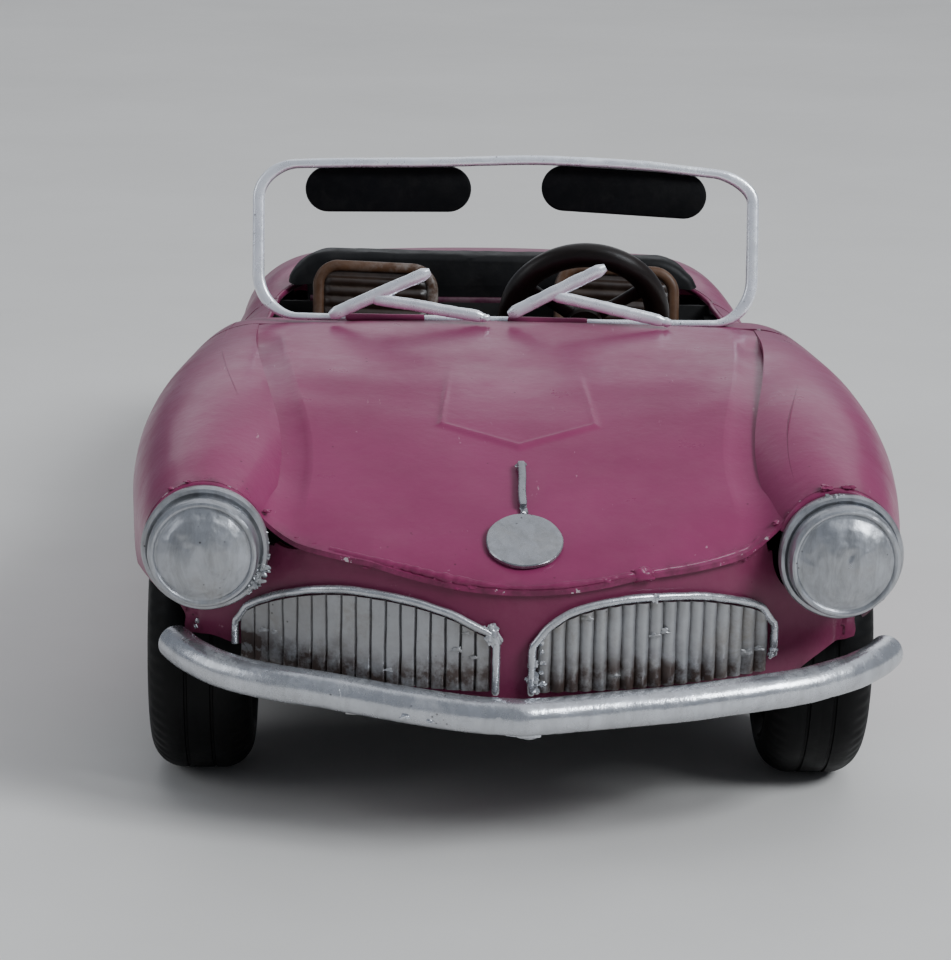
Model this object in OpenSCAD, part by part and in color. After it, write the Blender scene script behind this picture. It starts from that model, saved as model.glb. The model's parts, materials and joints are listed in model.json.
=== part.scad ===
// Tin roadster toy with a friction motor on its rear axle.
// Millimetres, +Z up, nose towards -Y. The origin is on the ground, under the middle of the car.

/* [Body] */
// Thickness of the pressed tin sheet
tin = 1; // [0.8:0.1:1.1]
// Gap along the seams between panels
seam = 0.15; // [0.1:0.05:0.2]
// Height of the sill's lower edge above the ground
sill_z = 15.5; // [15:0.5:16]
// Height of the base plate's underside above the ground
base_z = 17; // [16.5:0.5:17]

/* [Wheels] */
// Outer radius of the tyres
tyre_r = 23; // [22:0.5:23]
// Width of the tyres
tyre_w = 16.5; // [15:0.5:17]
// Distance between the front and rear axles
wheelbase = 170; // [168:1:171]
// Distance between the middles of the front tyres
front_track = 98; // [97:0.5:99]
// Distance between the middles of the rear tyres
rear_track = 85; // [84.5:0.5:86]
// Radius of both axles
axle_r = 1.5; // [1.4:0.1:1.5]

/* [Windscreen] */
// Overall width of the windscreen frame
screen_w = 89; // [86:1:90]
// Thickness of the frame's square wire
screen_wire = 2.1; // [1.8:0.1:2.1]

/* [Bumpers] */
// Radius of the bumper tubes
bumper_r = 2.85; // [2.6:0.05:2.9]

/* [Friction motor] */
// Module of all gears
gear_m = 0.6; // [0.58:0.01:0.6]
// Teeth of the gear on the rear axle
axle_teeth = 34; // [34:1:34]
// Teeth of both pinions
pinion_teeth = 12; // [12:1:12]
// Teeth of the gear on the layshaft
lay_teeth = 36; // [36:1:36]
// Radius of the flywheel
flywheel_r = 12; // [10:0.5:12]

/* [Hidden] */
$fn = 48;

RED = [0.50, 0.20, 0.32];
SILVER = [0.74, 0.75, 0.77];
STEEL = [0.62, 0.62, 0.64];
BLACK = [0.07, 0.07, 0.08];
BROWN = [0.36, 0.22, 0.13];
BRASS = [0.72, 0.58, 0.30];

run = 0.07;                          // radial clearance of what turns on a pin or in a hole
front_y = -95;                       // front axle
rear_y = front_y + wheelbase;        // rear axle
axle_z = tyre_r;                     // both axles
arch_r = tyre_r + 2.5;               // wheel arches
hub_r = 14.5;                        // tyre's inner radius
fender_y0 = -131;                    // front end of the fenders, behind the headlamps
cowl_y = -49;                        // rear edge of the bonnet and front fenders
door_y1 = 21.5;                      // rear edge of the doors
deck_y0 = 33.5;                      // front edge of the rear deck
tail_y = 133;                        // rear edge of the deck and rear fenders
door_top = 71;                       // angle on the shoulder ellipse where the doors begin
lamp = [48, 46.1];                   // headlamp's centre, x and z
lamp_lip_z = 39;                     // lower edge of the fender beside the headlamp
nose_y = -142.6;                     // foremost point of the nose panel
nose_half = 50;                      // half width of the nose panel
nose_z = 24;                         // its lower edge

// The shoulder of the body at stations along y, as an ellipse across the car:
// [y, centre x, centre z, half width, half height, angle at which it begins]
SHOULDER = [
    [-131, 48.0, 46.2, 9.6, 10.3, 160],
    [-118, 47.0, 46.8, 12.6, 12.6, 150],
    [-95, 45.0, 47.0, 16.7, 16.2, 118],
    [-70, 43.4, 46.6, 18.3, 17.9, 95],
    [-49, 43.0, 46.0, 16.0, 18.2, 90],
    [-38, 42.4, 45.3, 15.1, 17.9, 90],
    [-20, 41.2, 43.2, 13.0, 13.6, 90],
    [15, 38.6, 41.0, 13.6, 14.8, 90],
    [30, 37.2, 40.3, 14.8, 16.2, 90],
    [45, 35.2, 39.8, 15.7, 18.6, 90],
    [75, 33.0, 37.5, 18.7, 17.4, 90],
    [105, 31.5, 35.0, 19.5, 14.6, 90],
    [125, 30.0, 33.6, 19.4, 11.8, 90],
    [133, 29.0, 33.0, 18.6, 10.3, 90]
];
// Height of the bonnet's middle line: [y, z]
BONNET = [[-143.5, 42.9], [-133.5, 48.4], [-112, 56.3], [-95, 60.3], [-76, 62.8], [-49, 65.2]];
// Top edge of each grille: [x, z], from its inner to its outer end
GRILLE_LEFT = [[2.4, 34.6], [3.8, 36.4], [7, 38.6], [12.5, 40.1], [19, 40.5], [26.5, 39.9], [32, 38.5], [36.4, 36.7], [37.8, 34.6]];
GRILLE_RIGHT = [[4.8, 35.4], [6.4, 36.1], [10.5, 38.1], [15.8, 39.6], [21, 40.3], [27, 40.3], [32.6, 39.2], [37.6, 37.3],
    [41.4, 35], [42.2, 33.4]];
grille_z = 27;                       // lower edge of both grilles
grille_ribs = 16;

// ---- smooth curves through a table's rows, the first column being where each row is

function row_at(t, s, i = 0) = i >= len(t) - 2 || s < t[i + 1][0] ? i : row_at(t, s, i + 1);
function rise(t, c, i) = let (a = max(i - 1, 0), b = min(i + 1, len(t) - 1)) (t[b][c] - t[a][c]) / (t[b][0] - t[a][0]);
function curve(t, c, s) =
    let (i = row_at(t, s), h = t[i + 1][0] - t[i][0], u = (s - t[i][0]) / h)
    let (p = t[i][c], q = t[i + 1][c], m = rise(t, c, i) * h, n = rise(t, c, i + 1) * h)
    u < 0 ? p + m * u :
    u > 1 ? q + n * (u - 1) :
    (2 * u ^ 3 - 3 * u ^ 2 + 1) * p + (u ^ 3 - 2 * u ^ 2 + u) * m + (3 * u ^ 2 - 2 * u ^ 3) * q + (u ^ 3 - u ^ 2) * n;
function unit(v) = v / norm(v);
function steps(a, b, n) = [for (i = [0:n]) a + (b - a) * i / n];

// ---- the body's section across the car at y

function mid_x(y) = curve(SHOULDER, 1, y);
function mid_z(y) = curve(SHOULDER, 2, y);
function half_w(y) = curve(SHOULDER, 3, y);
function half_h(y) = curve(SHOULDER, 4, y);
function begin(y) = curve(SHOULDER, 5, y);
function crease_x(y) = mid_x(y) + half_w(y) * cos(begin(y));
function crease_z(y) = mid_z(y) + half_h(y) * sin(begin(y));
function tuck(y) = y < front_y ? 0 : 4;              // how far the side leans in at the sill

// A point of the shoulder at an angle, moved in by d along the section's normal
function shoulder(y, angle, d = 0) =
    let (a = half_w(y), b = half_h(y), n = unit([cos(angle) / a, sin(angle) / b]))
    [mid_x(y) + a * cos(angle) - d * n[0], y, mid_z(y) + b * sin(angle) - d * n[1]];

// A point of the side below the shoulder, moved in by d; the ellipse goes on round below the headlamps
function side(y, z, d = 0) =
    let (f = (mid_z(y) - z) / (mid_z(y) - sill_z), w = min(0.95, (mid_z(y) - z) / half_h(y)))
    let (k = sqrt(1 - w ^ 2), q = min(1, max(0, (-112 - y) / 19)) * half_w(y))
    let (n = unit([1, -q * w / k / half_h(y)]))
    [mid_x(y) + half_w(y) - q * (1 - k) - tuck(y) * f ^ 2 - d * n[0], y, z - d * n[1]];

// One column of a side panel: from an angle on the shoulder down to height low, in n steps
function side_column(y, top, low, d, n) =
    let (a = half_w(y), b = half_h(y), s = (low - mid_z(y)) / b)
    let (last = s <= 0 ? 0 : asin(min(s, 1)), per = (a + b) / 2 * PI / 180)
    let (arc = (top - last) * per, drop = max(0, mid_z(y) - low))
    [for (i = [0:n]) let (w = i / n * (arc + drop))
        w <= arc ? shoulder(y, top - w / per, d) : side(y, mid_z(y) - (w - arc), d)];

// Height of the top between the shoulders, with a slight crown
function top_z(y, x) =
    let (m = mid_x(y), e = mid_z(y) + half_h(y), u = abs(x) / m)
    u <= 1 ? e + (y < 0 ? 0 : 1) * (1 - u ^ 2) : mid_z(y) + half_h(y) * sqrt(max(0, 1 - ((abs(x) - m) / half_w(y)) ^ 2));

// Lower edge of a side panel with a wheel arch about yc: low_a before it, low_b behind it
function arch_edge(y, yc, low_a, low_b) =
    abs(y - yc) >= arch_r ? (y < yc ? low_a : low_b)
    : max(y < yc ? low_a : low_b, axle_z + sqrt(arch_r ^ 2 - (y - yc) ^ 2));
function arch_stations(yc, from, to, n) = [for (k = steps(from, to, n)) yc - arch_r * cos(k)];

// ---- solids from grids of points

// A closed sheet between an outer and an inner grid. Rows then columns turn clockwise seen from outside.
module sheet(outer, inner) {
    rows = len(outer) - 1;
    cols = len(outer[0]) - 1;
    count = (rows + 1) * (cols + 1);
    function at(i, j) = i * (cols + 1) + j;
    function quad(a, b, c, d) = [[a, b, c], [a, c, d]];
    faces = concat(
        [for (i = [0:rows - 1], j = [0:cols - 1])
            each quad(at(i, j), at(i + 1, j), at(i + 1, j + 1), at(i, j + 1))],
        [for (i = [0:rows - 1], j = [0:cols - 1])
            each quad(count + at(i, j), count + at(i, j + 1), count + at(i + 1, j + 1), count + at(i + 1, j))],
        [for (j = [0:cols - 1]) each quad(at(0, j), at(0, j + 1), count + at(0, j + 1), count + at(0, j))],
        [for (j = [0:cols - 1]) each quad(at(rows, j + 1), at(rows, j), count + at(rows, j), count + at(rows, j + 1))],
        [for (i = [0:rows - 1]) each quad(at(i + 1, 0), at(i, 0), count + at(i, 0), count + at(i + 1, 0))],
        [for (i = [0:rows - 1]) each quad(at(i, cols), at(i + 1, cols), count + at(i + 1, cols), count + at(i, cols))]
    );
    polyhedron(concat([for (r = outer) each r], [for (r = inner) each r]), faces);
}

// A bar along a path whose bends lie about the direction up; the section is a list of [across, up] points
module bar(path, section, up, closed = false) {
    n = len(path);
    m = len(section);
    function ahead(i) = path[closed ? (i + 1) % n : min(i + 1, n - 1)];
    function behind(i) = path[closed ? (i + n - 1) % n : max(i - 1, 0)];
    function ring(i) =
        let (t = unit(ahead(i) - behind(i)), s = unit(cross(t, up)), u = cross(s, t))
        [for (q = section) path[i] + s * q[0] + u * q[1]];
    function at(i, j) = (i % n) * m + j % m;
    walls = [for (i = [0:(closed ? n : n - 1) - 1], j = [0:m - 1])
        each [[at(i, j), at(i, j + 1), at(i + 1, j + 1)], [at(i, j), at(i + 1, j + 1), at(i + 1, j)]]];
    ends = closed ? [] : [[for (j = [m - 1:-1:0]) at(0, j)], [for (j = [0:m - 1]) at(n - 1, j)]];
    polyhedron([for (i = [0:n - 1]) each ring(i)], concat(walls, ends));
}
function round_section(r, sides) = [for (k = [0:sides - 1]) r * [cos(k * 360 / sides), sin(k * 360 / sides)]];
function arc(c, r, from, to, n) = [for (k = steps(from, to, n)) [c[0] + r * cos(k), c[1] + r * sin(k)]];

// A rod between two points
module rod(a, b, r) {
    d = b - a;
    translate(a) rotate([0, acos(d[2] / norm(d)), atan2(d[1], d[0])]) cylinder(r = r, h = norm(d));
}
// What is drawn on the car's left, on its right
module right() mirror([1, 0, 0]) children();
// A cylinder along X between two places
module along_x(x0, x1, r) translate([x0, 0, 0]) rotate([0, 90, 0]) cylinder(r = r, h = x1 - x0);
module at_shaft(s) translate([0, s[0], s[1]]) children();

// ---- body panels

function bonnet_z(y, v) =
    let (edge = crease_z(max(y, fender_y0)) + 0.25 * min(0, y - fender_y0), middle = curve(BONNET, 1, y))
    middle + (edge - middle) * v ^ 2;
function bonnet_front(v) = -143 + 12 * v ^ 2;
function bonnet_point(v, t, d) =
    let (y = bonnet_front(v) + (cowl_y - bonnet_front(v)) * t)
    [v * (crease_x(max(y, fender_y0)) - seam), y, bonnet_z(y, v) - d];
module bonnet() {
    function grid(d) = [for (t = steps(0, 1, 17)) [for (v = steps(-1, 1, 16)) bonnet_point(v, t ^ 1.2, d)]];
    color(RED) sheet(grid(0), grid(tin));
}

// Plan of the nose: straight back corners behind the headlamps, rounded at the ends
function nose_plan(x) =
    let (a = abs(x), e = max(0, a - nose_half + 5) / 5)
    nose_y + 12 * (min(a, 37) / 37) ^ 2 + 0.65 * max(0, a - 37) + 1 * (1 - sqrt(1 - min(e, 1) ^ 2));
function nose_lean(z) = 0.08 * max(0, 43 - z);
function nose_top(x) =
    let (a = abs(x))
    a < 37 ? bonnet_z(nose_plan(x), a / 37) - tin - 0.4
    : lamp[1] - sqrt(max(0, 9.6 ^ 2 - (max(a, lamp[0] - 9.6) - lamp[0]) ^ 2));
function nose_point(x, z, d) =
    let (e = 0.02, t = unit([2 * e, nose_plan(min(x + e, nose_half)) - nose_plan(max(x - e, -nose_half))]))
    [x - d * t[1], nose_plan(x) + nose_lean(z) + d * t[0], z];
module nose_panel() {
    half = concat(steps(0, 36.9, 12), [37.3, 38.6, 40.5, 43, 45.5, 47.5, 49, 49.8]);
    xs = concat([for (i = [len(half) - 1:-1:1]) -half[i]], half);
    function grid(d) = [for (s = steps(0, 1, 6)) [for (x = xs) nose_point(x, nose_z + (nose_top(x) - nose_z) * s, d)]];
    color(RED) sheet(grid(0), grid(tin));
}

module front_fender() {
    lip_angle = acos(sqrt(arch_r ^ 2 - (lamp_lip_z - axle_z) ^ 2) / arch_r);
    ys = concat([fender_y0, -127, -122], arch_stations(front_y, lip_angle, 178, 13), [-69.45, -63, -56, cowl_y]);
    function grid(d) = [for (y = ys) side_column(y, begin(y) - 0.4, arch_edge(y, front_y, lamp_lip_z, sill_z), d, 12)];
    color(RED) sheet(grid(0), grid(tin));
}

module door() {
    ys = steps(cowl_y + 0.6, door_y1 - seam, 9);
    function grid(d) = [for (y = ys) side_column(y, door_top, sill_z, d, 9)];
    color(RED) sheet(grid(0), grid(tin));
}

function rear_begin(y) = y < deck_y0 ? door_top + (90 - door_top) * ((y - door_y1) / (deck_y0 - door_y1)) ^ 2 : 90;
module rear_fender() {
    ys = concat([door_y1 + seam, 27, deck_y0, 42, 49.4], arch_stations(rear_y, 2, 178, 14), [100.6, 108, 116, 125, tail_y]);
    function low(y) = arch_edge(y, rear_y, sill_z, 18 + 0.08 * max(0, y - 100));
    function grid(d) = [for (y = ys) side_column(y, rear_begin(y) - 0.3, low(y), d, 12)];
    color(RED) sheet(grid(0), grid(tin));
}

module rear_deck() {
    function grid(d) = [for (y = steps(deck_y0, tail_y, 14)) [for (v = steps(-1, 1, 10)) let (x = v * (mid_x(y) - seam)) [x, y, top_z(y, x) - d]]];
    color(RED) sheet(grid(0), grid(tin));
}

tail_low = 20;
tail_w = mid_x(tail_y) + half_w(tail_y);
function tail_top(x) = top_z(tail_y, x);
function tail_point(x, z, d) =
    let (fall = max(0, z - 30) / (tail_top(x) - 30))
    [x, tail_y + seam + tin + 6 * (1 - abs(x / tail_w) ^ 4) * (1 - fall ^ 3) - d, z];
module tail_panel() {
    xs = [for (v = steps(1, -1, 18)) tail_w * sign(v) * (1 - (1 - abs(v)) ^ 1.4)];
    function grid(d) = [for (s = steps(0, 1, 8)) [for (x = xs) tail_point(x, tail_low + (tail_top(x) - tail_low) * s, d)]];
    color(RED) sheet(grid(0), grid(tin));
}

scuttle_y1 = -38;
module scuttle() {
    function edge(y) = mid_x(y) + half_w(y) * cos(door_top + 0.9);
    function grid(d) = [for (y = steps(cowl_y + 0.6, scuttle_y1, 3)) [for (v = steps(-1, 1, 20)) let (x = v * edge(y)) [x, y, top_z(y, x) - d]]];
    color(RED) sheet(grid(0), grid(tin));
}

module dashboard() color(RED) {
    y = scuttle_y1 - 1.4;
    outline = concat([[43, 46]], [for (x = steps(43, -43, 18)) [x, top_z(y, x) - tin - 0.3]], [[-43, 46]]);
    difference() {
        translate([0, y + 1, 0]) rotate([90, 0, 0]) linear_extrude(1) polygon(outline);
        along_column() translate([0, 0, -30]) cylinder(r = column_r + run, h = 40);
    }
}

// ---- cockpit

tub = [[-42, -68, 18], [42, 25, 54]];
tub_side = 52;                       // upper edge of its side walls
module cockpit_tub() {
    // x of the inner faces of the doors and rear fenders at the side walls' rim, with some play
    function reach(y) = mid_x(y) + (half_w(y) - tin) * cos(asin((tub_side - mid_z(y)) / (half_h(y) - tin))) - 0.7;
    color(BLACK) difference() {
        union() {
            translate(tub[0]) cube(tub[1] - tub[0]);
            // a flange on each side closes the gap to the body
            for (m = [0, 1]) mirror([m, 0, 0]) translate([0, 0, tub_side - tin]) linear_extrude(tin)
                polygon(concat([for (y = steps(-36, tub[1][1], 10)) [reach(y), y]], [[40, tub[1][1]], [40, -36]]));
        }
        translate(tub[0] + [tin, tin, tin]) cube(tub[1] - tub[0] - [2 * tin, 2 * tin, 0]);
        // the side walls are lower than the wall behind the seats
        translate([-60, -70, tub_side]) cube([120, 95 - tin, 20]);
        // the scuttle and the steering column pass over the foot well
        translate([-50, -70, 44]) cube([100, 33, 20]);
    }
}

module hood_cover() color(BLACK)
    translate([0, 31.5, 0]) rotate([90, 0, 0]) linear_extrude(6)
        polygon(concat([[-36.6, 40], [-36.6, 57.1]], arc([-32, 55.4], 8, 167.5, 90, 8), arc([32, 54.6], 8, 90, 18.5, 8),
            [[36.6, 57.1], [36.6, 40]]));

seat_x = 23.2;
seat_w = 24;
seat_y = 3;                          // foot of the backrest
// A rounded slab: outline drawn from the front, w wide and h high, with corner radius r
module slab(w, h, r, depth) rotate([90, 0, 0]) linear_extrude(depth)
    polygon(concat([[-w / 2, 0]], arc([-w / 2 + r, h - r], r, 180, 90, 6), arc([w / 2 - r, h - r], r, 90, 0, 6), [[w / 2, 0]]));
module seat() color(BROWN) {
    floor_z = tub[0][2] + tin;
    translate([seat_x, seat_y + 1, floor_z]) rotate([-12, 0, 0]) translate([0, 5.4, 2]) slab(seat_w, 42.5, 5, 5);
    translate([seat_x - seat_w / 2, seat_y - 24, floor_z]) cube([seat_w, 27, 14]);
}

// ---- windscreen

screen_foot = [-45.6, 65.4];         // y and z of the frame's bottom rail
screen_head = [-38.6, 91.6];         // y and z of its top rail
screen_x = (screen_w - screen_wire) / 2;
// A point of the frame: x across, h up the frame from 0 to 1; the frame is bowed forward in the middle
function screen_point(x, h) =
    let (p = screen_foot + (screen_head - screen_foot) * h)
    [x, p[0] - 1.6 * (1 - (x / screen_x) ^ 2), p[1]];
// The top rail is peaked and lower on the car's left
function screen_lift(x) = 0.045 - 0.045 * (abs(x - 3) / 44) ^ 1.6 - 0.0007 * max(0, x + 20);
function screen_loop() =
    let (r = 7, k = norm(screen_head - screen_foot), q = r / k)
    concat(
        [for (a = steps(-90, 0, 6)) [screen_x - r + r * cos(a), q + q * sin(a)]],
        [for (a = steps(0, 90, 6)) let (x = screen_x - r + r * cos(a)) [x, 1 - q + q * sin(a) + screen_lift(x) * sin(a)]],
        [for (x = steps(28, -28, 8)) [x, 1 + screen_lift(x)]],
        [for (a = steps(90, 180, 6)) let (x = -screen_x + r + r * cos(a)) [x, 1 - q + q * sin(a) + screen_lift(x) * sin(a)]],
        [for (a = steps(180, 270, 6)) [-screen_x + r + r * cos(a), q + q * sin(a)]],
        [for (x = steps(-24, 24, 4)) [x, 0]]
    );
screen_normal = unit([0, -(screen_head - screen_foot)[1], (screen_head - screen_foot)[0]]);
module windscreen_frame() color(SILVER) {
    w = screen_wire / 2;
    c = w * 0.6;
    section = [[w, -c], [w, c], [c, w], [-c, w], [-w, c], [-w, -c], [-c, -w], [c, -w]];
    bar([for (p = screen_loop()) screen_point(p[0], p[1])], section, screen_normal, closed = true);
}

// A stadium plate hung behind the top rail, centred at x, turned by tilt
module sun_visor(x, tilt) color(BLACK) {
    lean = atan2(screen_head[0] - screen_foot[0], screen_head[1] - screen_foot[1]);
    p = screen_point(x, 0.8);
    translate([p[0], p[1] + 2.35, p[2]]) rotate([-lean, 0, 0]) rotate([90, 0, 0]) rotate([0, 0, tilt])
        linear_extrude(1) union() {
            square([21, 8], center = true);
            for (s = [-1, 1]) translate([s * 10.5, 0]) circle(4);
        }
}

wiper_y = -50.2;
// An arm from its foot to the fork and a blade between its tips, each place as [x, z]
module wiper(foot, fork, low, high) {
    function p(q, y) = [q[0], y, q[1]];
    color(SILVER) rod(p(foot, wiper_y - 1.1), p(fork, wiper_y), 0.85);
    color(SILVER) rod(p(low, wiper_y), p(high, wiper_y), 1.1);
}

// ---- front trim

// Everything of a headlamp turns about its axis, which points forward
module at_lamp(y) translate([lamp[0], y, lamp[1]]) rotate([90, 0, 0]) children();
module headlamp_bucket() color(SILVER) at_lamp(-124) difference() {
    union() {
        cylinder(r = 8, h = 8);
        translate([0, 0, 7.3]) cylinder(r = 9.6, h = 2.2);
    }
    translate([0, 0, 1]) cylinder(r = 7, h = 10);
}
lens_profile = [[0, 0], [6.9, 0], [6.9, 1.6], [8.9, 1.6], [9.05, 2.1], [8.95, 4.4], [8.6, 5.0], [8.1, 5.1], [7.7, 4.6],
    [7.0, 5.0], [5.5, 5.9], [3.8, 6.45], [2, 6.75], [0, 6.85]];
module headlamp_lens() color(SILVER) at_lamp(-131.9) rotate_extrude() polygon(lens_profile);

function grille_top(t, x) = curve(t, 1, x);
// One pleated insert; t is its top edge
module grille(t) {
    x0 = t[0][0] + 0.25;
    x1 = t[len(t) - 1][0] - 0.25;
    pleat = [0, 0.45, 0.55, 0.45];
    n = grille_ribs * 4;
    function spot(i, s, d) =
        let (x = x0 + (x1 - x0) * i / n, z = grille_z + (grille_top(t, x) - 0.5 - grille_z) * s)
        nose_point(x, z, d);
    color(SILVER) sheet([for (s = steps(0, 1, 3)) [for (i = [0:n]) spot(i, s, -0.75 - pleat[i % 4])]],
          [for (s = steps(0, 1, 3)) [for (i = [0:n]) spot(i, s, -0.1)]]);
}
// The wire round an insert, up one end, along its top edge and down the other
module grille_surround(t) color(SILVER) {
    r = 0.8;
    x0 = t[0][0] - r;
    x1 = t[len(t) - 1][0] + r;
    last = t[len(t) - 1];
    out = concat([for (z = steps(grille_z, t[0][1] - 0.6, 4)) [x0, z]], [[t[0][0] - 0.3, t[0][1] + 0.6]],
        [for (x = steps(t[0][0] + 0.5, last[0] - 0.5, 18)) [x, grille_top(t, x) + r]], [[last[0] + 0.3, last[1] + 0.6]],
        [for (z = steps(last[1] - 0.6, grille_z, 4)) [x1, z]]);
    bar([for (q = out) nose_point(q[0], q[1], -r - 0.15)], round_section(r, 8), [0, -1, 0]);
}

// Half of the front bumper's line, [x, y, z], and of the rear bumper's
FRONT_BUMPER_LEFT = [[0, 2.85, 24.6], [7, 4.7, 24.6], [14.5, 6.6, 24.8], [24, 8.7, 25.2], [30, 10.4, 25.5], [38, 12.9, 25.9],
    [44, 15.4, 26.2], [48, 17.9, 26.5], [51, 20.2, 26.7], [54, 23.2, 27], [56.6, 26.8, 27.2], [58.2, 30, 27.4]];
FRONT_BUMPER_RIGHT = [[0, 2.85, 24.6], [7, 4.5, 24.5], [14.5, 6.8, 24.8], [24, 9.6, 25.5], [30, 11.6, 25.9],
    [39, 14.6, 26.4], [45, 18, 26.9], [48.5, 21.4, 27.3], [51, 24.8, 27.6], [53.5, 29.6, 28]];
REAR_BUMPER = [[0, 2.85, 24], [14, 3.2, 24], [28, 4.6, 24], [40, 7.2, 24], [48, 10.6, 24], [54, 14.6, 24]];
function bumper_line(left, right, from, to, n, end, s) =
    [for (i = [-n:n]) let (t = abs(i) / n, x = (i < 0 ? from : to) * (1 - (1 - t) ^ 1.4), q = i < 0 ? right : left)
        [x, end - s * (curve(q, 1, abs(x)) - 2.85 + bumper_r), curve(q, 2, abs(x))]];
// The front one bends back further in on the car's right
module front_bumper() color(SILVER)
    bar(bumper_line(FRONT_BUMPER_LEFT, FRONT_BUMPER_RIGHT, -53.5, 58.2, 16, -150, -1), round_section(bumper_r, 12), [0, 0, 1]);
module rear_bumper() color(SILVER)
    bar(bumper_line(REAR_BUMPER, REAR_BUMPER, -54, 54, 13, 150, 1), round_section(bumper_r, 12), [0, 0, 1]);

// Cranked straps from the base plate and the motor pan to the bumpers' hidden sides
strap_x = [21.6, 26.4];
function back_of(t, x, z) = curve(t, 1, x) - 2.85 + bumper_r + sqrt(bumper_r ^ 2 - (z - curve(t, 2, x)) ^ 2) / cos(atan(rise(t, 1, 3))) + 0.08;
module strap(t, z, reach) linear_extrude(1.2)
    polygon([for (x = strap_x) [x, back_of(t, x, z)], [strap_x[1], reach], [strap_x[0], reach]]);
module front_bumper_brackets() color(STEEL) for (s = [-1, 1]) mirror([s < 0 ? 1 : 0, 0, 0]) {
    translate([0, -150, 22]) strap(s < 0 ? FRONT_BUMPER_RIGHT : FRONT_BUMPER_LEFT, 23.2, 40);
    translate([strap_x[0], -111.2, base_z + tin]) cube([strap_x[1] - strap_x[0], 1.2, 5.2 - tin]);
    translate([strap_x[0], -111.2, base_z + tin]) cube([strap_x[1] - strap_x[0], 8, 1.2]);
}
module rear_bumper_brackets() color(STEEL) for (s = [-1, 1]) mirror([s < 0 ? 1 : 0, 0, 0]) {
    translate([0, 150, 21.4]) mirror([0, 1, 0]) strap(REAR_BUMPER, 22.6, 9.6);
    translate([strap_x[0], 140.4, pan[1][2]]) cube([strap_x[1] - strap_x[0], 1.2, 22.6 - pan[1][2]]);
    translate([strap_x[0], 112, pan[1][2]]) cube([strap_x[1] - strap_x[0], 29.6, 1.2]);
}

badge_y = -134.3;
badge_slope = 27.5;
module on_bonnet(y, slope) translate([0.3, y, bonnet_z(y, 0)]) rotate([slope, 0, 0]) children();
module bonnet_badge() color(SILVER) on_bonnet(badge_y, badge_slope) translate([0, 0, 0.06]) cylinder(r = 5.85, h = 0.8);
module badge_spear() color(SILVER) on_bonnet(-121.1, 21) translate([0, 0, 0.75]) cube([1.3, 11.6, 1.1], center = true);

tail_lamp = [35, 31, 3.6];           // x, z and radius
module tail_lamps() color(SILVER) for (m = [0, 1]) mirror([m, 0, 0]) {
    r = tail_lamp[2];
    rise = tail_point(tail_lamp[0] + r, tail_lamp[1], 0) - tail_point(tail_lamp[0] - r, tail_lamp[1], 0);
    translate(tail_point(tail_lamp[0], tail_lamp[1], -0.3)) rotate([0, 0, atan(rise[1] / rise[0])]) rotate([-90, 0, 0])
        rotate_extrude() polygon([[0, 0], [r, 0], [r, 1.6], [r - 0.6, 2.4], [r - 1.8, 3], [0, 3.2]]);
}

// ---- steering

wheel_hub = [15, -20, 60.3];
column_lean = 23;                    // slope of the column
column_r = 1.5;
rim_r = 13.4;
// Frame of the column: +Z along it towards the driver, zero at the wheel's middle
module along_column() translate(wheel_hub) rotate([-90 + column_lean, 0, 0]) children();
module steering_column() color(STEEL) along_column() translate([0, 0, -21]) cylinder(r = column_r, h = 23);
module steering_wheel() color(BROWN) along_column() difference() {
    union() {
        rotate_extrude() translate([rim_r, 0]) circle(2.25);
        translate([0, 0, -3]) cylinder(r = 3.2, h = 6.2);
        for (k = [90, 210, 330]) rotate([0, 0, k]) translate([2.4, 0, 0]) rotate([0, 90, 0]) cylinder(r = 1.2, h = rim_r - 2.4);
    }
    translate([0, 0, -4]) cylinder(r = column_r + run, h = 6.2);
}

// ---- base and running gear

pan = [[-32, 41.5, 10.8], [32, 116, 18]];
module base_plate() color(BLACK) {
    half = concat([[0, -114], [38, -114], [39.5, -110], [39.5, -66], [side(-64, sill_z, tin + 0.3)[0], -64]],
        [for (y = steps(-60, 40.5, 10)) [side(y, sill_z, tin + 0.3)[0], y]]);
    translate([0, 0, base_z]) linear_extrude(tin) difference() {
        polygon(concat(half, [for (i = [len(half) - 1:-1:0]) [-half[i][0], half[i][1]]]));
        for (x = pan_screw_spots) translate([x, 36.5]) circle(1.2);
    }
}
pan_screw_spots = [-24, 0, 24];
// A tray with a lip that lies on the base plate
module motor_pan() color(BLACK) {
    difference() {
        translate(pan[0]) cube(pan[1] - pan[0]);
        translate(pan[0] + [tin, tin, tin]) cube(pan[1] - pan[0] - [2 * tin, 2 * tin, 0]);
    }
    difference() {
        translate([pan[0][0], 32, base_z + tin]) cube([pan[1][0] - pan[0][0], 10.5, tin]);
        for (x = pan_screw_spots) translate([x, 36.5, base_z]) cylinder(r = 1.2, h = 4);
    }
}
module pan_screws() color(STEEL) for (x = pan_screw_spots) translate([x, 36.5, base_z + 2 * tin]) {
    difference() {
        cylinder(r = 2.4, h = 1.3);
        translate([-3, -0.35, 0.7]) cube([6, 0.7, 1]);
    }
    translate([0, 0, -2 * tin]) cylinder(r = 1.2, h = 2 * tin);
}

// Ears that carry the axles, each on a foot
module axle_ear(x, y, foot_z) translate([x, y, 0]) difference() {
    union() {
        translate([-1, -5, foot_z]) cube([2, 10, axle_z - foot_z]);
        translate([0, 0, axle_z]) along_x(-1, 1, 5);
    }
    translate([0, 0, axle_z]) along_x(-2, 2, axle_r + run);
}
module axle_brackets() color(STEEL) for (s = [-1, 1]) {
    axle_ear(s * 33, front_y, base_z + tin);
    axle_ear(s * 28.5, rear_y, pan[0][2] + tin);
}

module axle(y, track) color(STEEL) at_shaft([y, axle_z]) along_x(-track / 2 - 3, track / 2 + 3, axle_r);
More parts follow.
